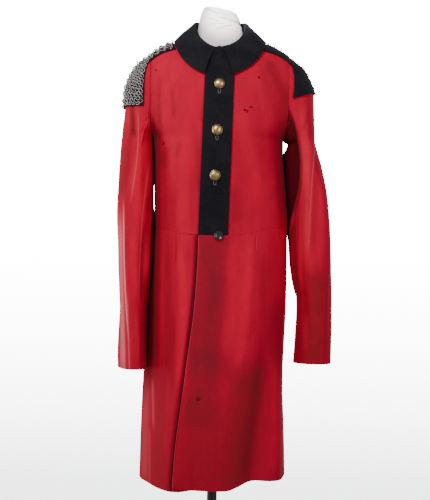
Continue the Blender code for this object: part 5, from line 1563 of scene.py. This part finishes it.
def steel_look():
    look, tree, shader, place = start_look("steel_rings", Metallic=0.9, Roughness=0.38)
    wear = noise(tree, place, 300, 3)
    tree.links.new(mixed(wear, (0.19, 0.172, 0.163), (0.85, 0.80, 0.77)), shader.inputs["Base Color"])
    tree.links.new(spread_out(wear, 0.3, 0.7, 0.25, 0.5), shader.inputs["Roughness"])
    bumped(tree, shader, wear, 0.0001)
    return look


def brass_look():
    look, tree, shader, place = start_look("brass", Metallic=1.0, Roughness=0.3)
    tarnish = noise(tree, place, 240, 4)
    colour = mixed(spread_out(tarnish, 0.35, 0.70), (0.62, 0.44, 0.20), (0.24, 0.15, 0.06))
    tree.links.new(colour, shader.inputs["Base Color"])
    tree.links.new(spread_out(tarnish, 0.3, 0.7, 0.22, 0.48), shader.inputs["Roughness"])
    bumped(tree, shader, noise(tree, place, 700, 3), 0.0003, 0.6)
    return look


def gloss_look():
    look, tree, shader, place = start_look("black_button", Roughness=0.12, Specular_IOR_Level=0.8)
    shade = noise(tree, place, 500, 2)
    tree.links.new(mixed(shade, (0.006, 0.006, 0.007), (0.020, 0.019, 0.020)), shader.inputs["Base Color"])
    tree.links.new(spread_out(shade, 0.3, 0.7, 0.08, 0.2), shader.inputs["Roughness"])
    return look


def cover_look():
    look, tree, shader, place = start_look(
        "form_cover", Roughness=0.8, Sheen_Weight=0.15, Sheen_Roughness=0.5,
    )
    shade = noise(tree, place, 45, 3)
    threads = noise(tree, scaled(tree, place, (1, 1, 3)), 900, 1)
    colour = mixed(shade, (0.86, 0.73, 0.73), (0.93, 0.83, 0.82))
    apart = node(tree, "ShaderNodeSeparateXYZ", {0: place})
    x, z = apart.outputs["X"], apart.outputs["Z"]
    front = spread_out(apart.outputs["Y"], -0.02, 0.0, 1.0, 0.0)
    # The troughs of the neck's creases are darkened on the front: painted shade in them
    for height, _, x0, z0, x1, z1 in NECK_CREASES:
        if height > 0:
            continue
        length, ways = crease_line(x0, z0, x1, z1)
        over, up = minus(x, x0), minus(z, z0 + 0.001)
        along = plus(times(over, ways[0]), times(up, ways[1]))
        away = sum_up("ABSOLUTE", minus(times(up, ways[0]), times(over, ways[1])), 0)
        mask = spread_out(away, 0.0, 0.0026, 0.55, 0.0)
        mask = times(mask, spread_out(along, -0.006, 0.003))
        mask = times(mask, spread_out(along, length - 0.004, length + 0.006, 1.0, 0.0))
        colour = mixed(times(mask, front), colour, (0.33, 0.24, 0.25))
    tree.links.new(colour, shader.inputs["Base Color"])
    bumped(tree, shader, threads, 0.0002, 0.5)
    return look


def paint_look():
    look, tree, shader, place = start_look("stand_paint", Roughness=0.4)
    shade = noise(tree, place, 120, 3)
    tree.links.new(mixed(shade, (0.016, 0.009, 0.009), (0.030, 0.018, 0.016)), shader.inputs["Base Color"])
    tree.links.new(spread_out(shade, 0.3, 0.7, 0.32, 0.5), shader.inputs["Roughness"])
    bumped(tree, shader, noise(tree, place, 800, 2), 0.0001, 0.4)
    return look


def keep_node(name, look):
    """A solid that shows as it is, with a better finish."""
    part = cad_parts[name]
    part = part if isinstance(part, bpy.types.Object) else bpy.data.objects[name]
    part.data.materials.clear()
    part.data.materials.append(look)


def make_camera():
    data = bpy.data.cameras.new("camera")
    data.lens = CAMERA_LENS
    data.sensor_width = 36
    camera = bpy.data.objects.new("camera", data)
    right = Vector((math.cos(CAMERA_ROLL), 0, math.sin(CAMERA_ROLL)))
    up = Vector((-math.sin(CAMERA_ROLL), 0, math.cos(CAMERA_ROLL)))
    turn = Matrix((right, up, Vector((0, -1, 0)))).transposed().to_4x4()
    camera.matrix_world = Matrix.Translation(CAMERA_PLACE) @ turn
    bpy.context.collection.objects.link(camera)
    bpy.context.scene.camera = camera


# How brightly the backdrop glows, as painted light, at its foot and from GLOW_TOP up, and the room all round
BACKDROP_GLOW, GLOW_TOP = (3.8, 16.0), 0.92
WORLD_GLOW = 0.36
# The floor's front edge, where the backdrop stands behind the object, how high it goes and how wide it is
FLOOR_START, BACKDROP_PLACE, BACKDROP_TOP, BACKDROP_HALF = -3.4, 3.2, 3.6, 4.0
BACKDROP_BEND = 0.9
FLOOR_DROP = 0.0005
STUDIO_LIGHTS = [
    # name, place, aim, size, watts
    ("key", (-0.75, -1.60, 2.20), (0, 0, 1.15), (0.8, 0.8), 30),
    ("fill", (1.5, -2.2, 1.4), (0, 0, 1.0), (1.4, 1.8), 20),
    ("side", (-2.0, 0.15, 1.1), (-0.15, 0, 0.95), (0.5, 1.8), 24),
    ("back", (1.6, 2.2, 2.0), (0, 0, 1.0), (1.4, 1.8), 20),
]
# A narrow light on the neck, which is the brightest part of the photo
NECK_LIGHT_PLACE, NECK_LIGHT_AIM = (-0.35, -1.7, 1.85), (0.008, -0.045, 1.470)
NECK_LIGHT_WATTS, NECK_LIGHT_CONE = 470, math.radians(3.9)


def area_light(name, place, aim, size, power):
    data = bpy.data.lights.new(name, "AREA")
    data.shape = "RECTANGLE"
    data.size, data.size_y = size
    data.energy = power
    light = bpy.data.objects.new(name, data)
    light.location = place
    light.rotation_euler = (Vector(aim) - Vector(place)).to_track_quat("-Z", "Y").to_euler()
    bpy.context.collection.objects.link(light)


def make_stage():
    """A pale floor that sweeps up behind the object into a white backdrop, both glowing as painted light,
    with the studio's lights.
    """
    bend, far = BACKDROP_BEND, BACKDROP_PLACE
    turn = np.linspace(0, math.pi / 2, 17)
    sweep = [(far - bend + bend * math.sin(t), bend - bend * math.cos(t)) for t in turn]
    profile = [(FLOOR_START, 0.0)] + sweep + [(far, BACKDROP_TOP)]
    points = [(x, y, z - FLOOR_DROP) for y, z in profile for x in (-BACKDROP_HALF, BACKDROP_HALF)]
    faces = [(2 * i, 2 * i + 1, 2 * i + 3, 2 * i + 2) for i in range(len(profile) - 1)]
    mesh = bpy.data.meshes.new("backdrop")
    mesh.from_pydata(points, [], faces)
    mesh.shade_smooth()
    look, tree, shader, place = start_look("backdrop", Roughness=0.9)
    apart = node(tree, "ShaderNodeSeparateXYZ", {0: place})
    shader.inputs["Base Color"].default_value = (0.2, 0.2, 0.2, 1)
    # The floor and backdrop glow instead of being lit, fainter and cooler at the foot: painted light, hidden
    # from the light that falls on the coat
    rise = spread_out(apart.outputs["Z"], 0.0, 0.5)
    tint = mixed(rise, (0.965, 0.985, 1.0), (1.0, 1.0, 1.0))
    tree.links.new(tint, shader.inputs["Emission Color"])
    glow = node(tree, "ShaderNodeMapRange", {
        "Value": apart.outputs["Z"], "From Min": 0.0, "From Max": GLOW_TOP,
        "To Min": BACKDROP_GLOW[0], "To Max": BACKDROP_GLOW[1],
    })
    tree.links.new(glow.outputs["Result"], shader.inputs["Emission Strength"])
    # Its back lets the view through, so that it hides nothing from behind
    behind = node(tree, "ShaderNodeNewGeometry").outputs["Backfacing"]
    clear = node(tree, "ShaderNodeBsdfTransparent").outputs[0]
    both = node(tree, "ShaderNodeMixShader", {0: behind, 1: shader.outputs[0], 2: clear})
    tree.links.new(both.outputs[0], tree.nodes["Material Output"].inputs["Surface"])
    mesh.materials.append(look)
    backdrop = bpy.data.objects.new("backdrop", mesh)
    bpy.context.collection.objects.link(backdrop)
    backdrop.visible_diffuse = False
    backdrop.visible_glossy = False
    backdrop.visible_shadow = False

    world = bpy.data.worlds.new("studio")
    bpy.context.scene.world = world
    world.use_nodes = True
    world.node_tree.nodes["Background"].inputs["Color"].default_value = (1, 1, 1, 1)
    world.node_tree.nodes["Background"].inputs["Strength"].default_value = WORLD_GLOW
    for light in STUDIO_LIGHTS:
        area_light(*light)
    spot = bpy.data.lights.new("neck", "SPOT")
    spot.energy = NECK_LIGHT_WATTS
    spot.spot_size = NECK_LIGHT_CONE
    spot.spot_blend = 0.7
    spot.shadow_soft_size = 0.02
    light = bpy.data.objects.new("neck", spot)
    light.location = NECK_LIGHT_PLACE
    aim = Vector(NECK_LIGHT_AIM) - light.location
    light.rotation_euler = aim.to_track_quat("-Z", "Y").to_euler()
    bpy.context.collection.objects.link(light)


def main():
    red, black = red_look("body"), black_look()
    right_front, left_front, back = make_bodice(red)
    over, under, back_skirt = make_skirt(red)
    right_sleeve = make_sleeve(RIGHT, "right", red_look("right sleeve"))
    left_sleeve = make_sleeve(LEFT, "left", red_look("left sleeve"))
    band = make_band(black)
    fall, stand = make_collar(black)
    patches = [make_patch(RIGHT, "right", black), make_patch(LEFT, "left", black)]
    steel = steel_look()
    make_mail(RIGHT, "right", steel)
    make_mail(LEFT, "left", steel)
    make_buttons(brass_look(), gloss_look())
    make_buttonholes(thread_look())
    cover = cover_look()
    make_neck(cover)
    keep_node("form_torso", cover)
    paint = paint_look()
    keep_node("stand_pole", paint)
    keep_node("stand_base", paint)
    make_camera()
    make_stage()


main()
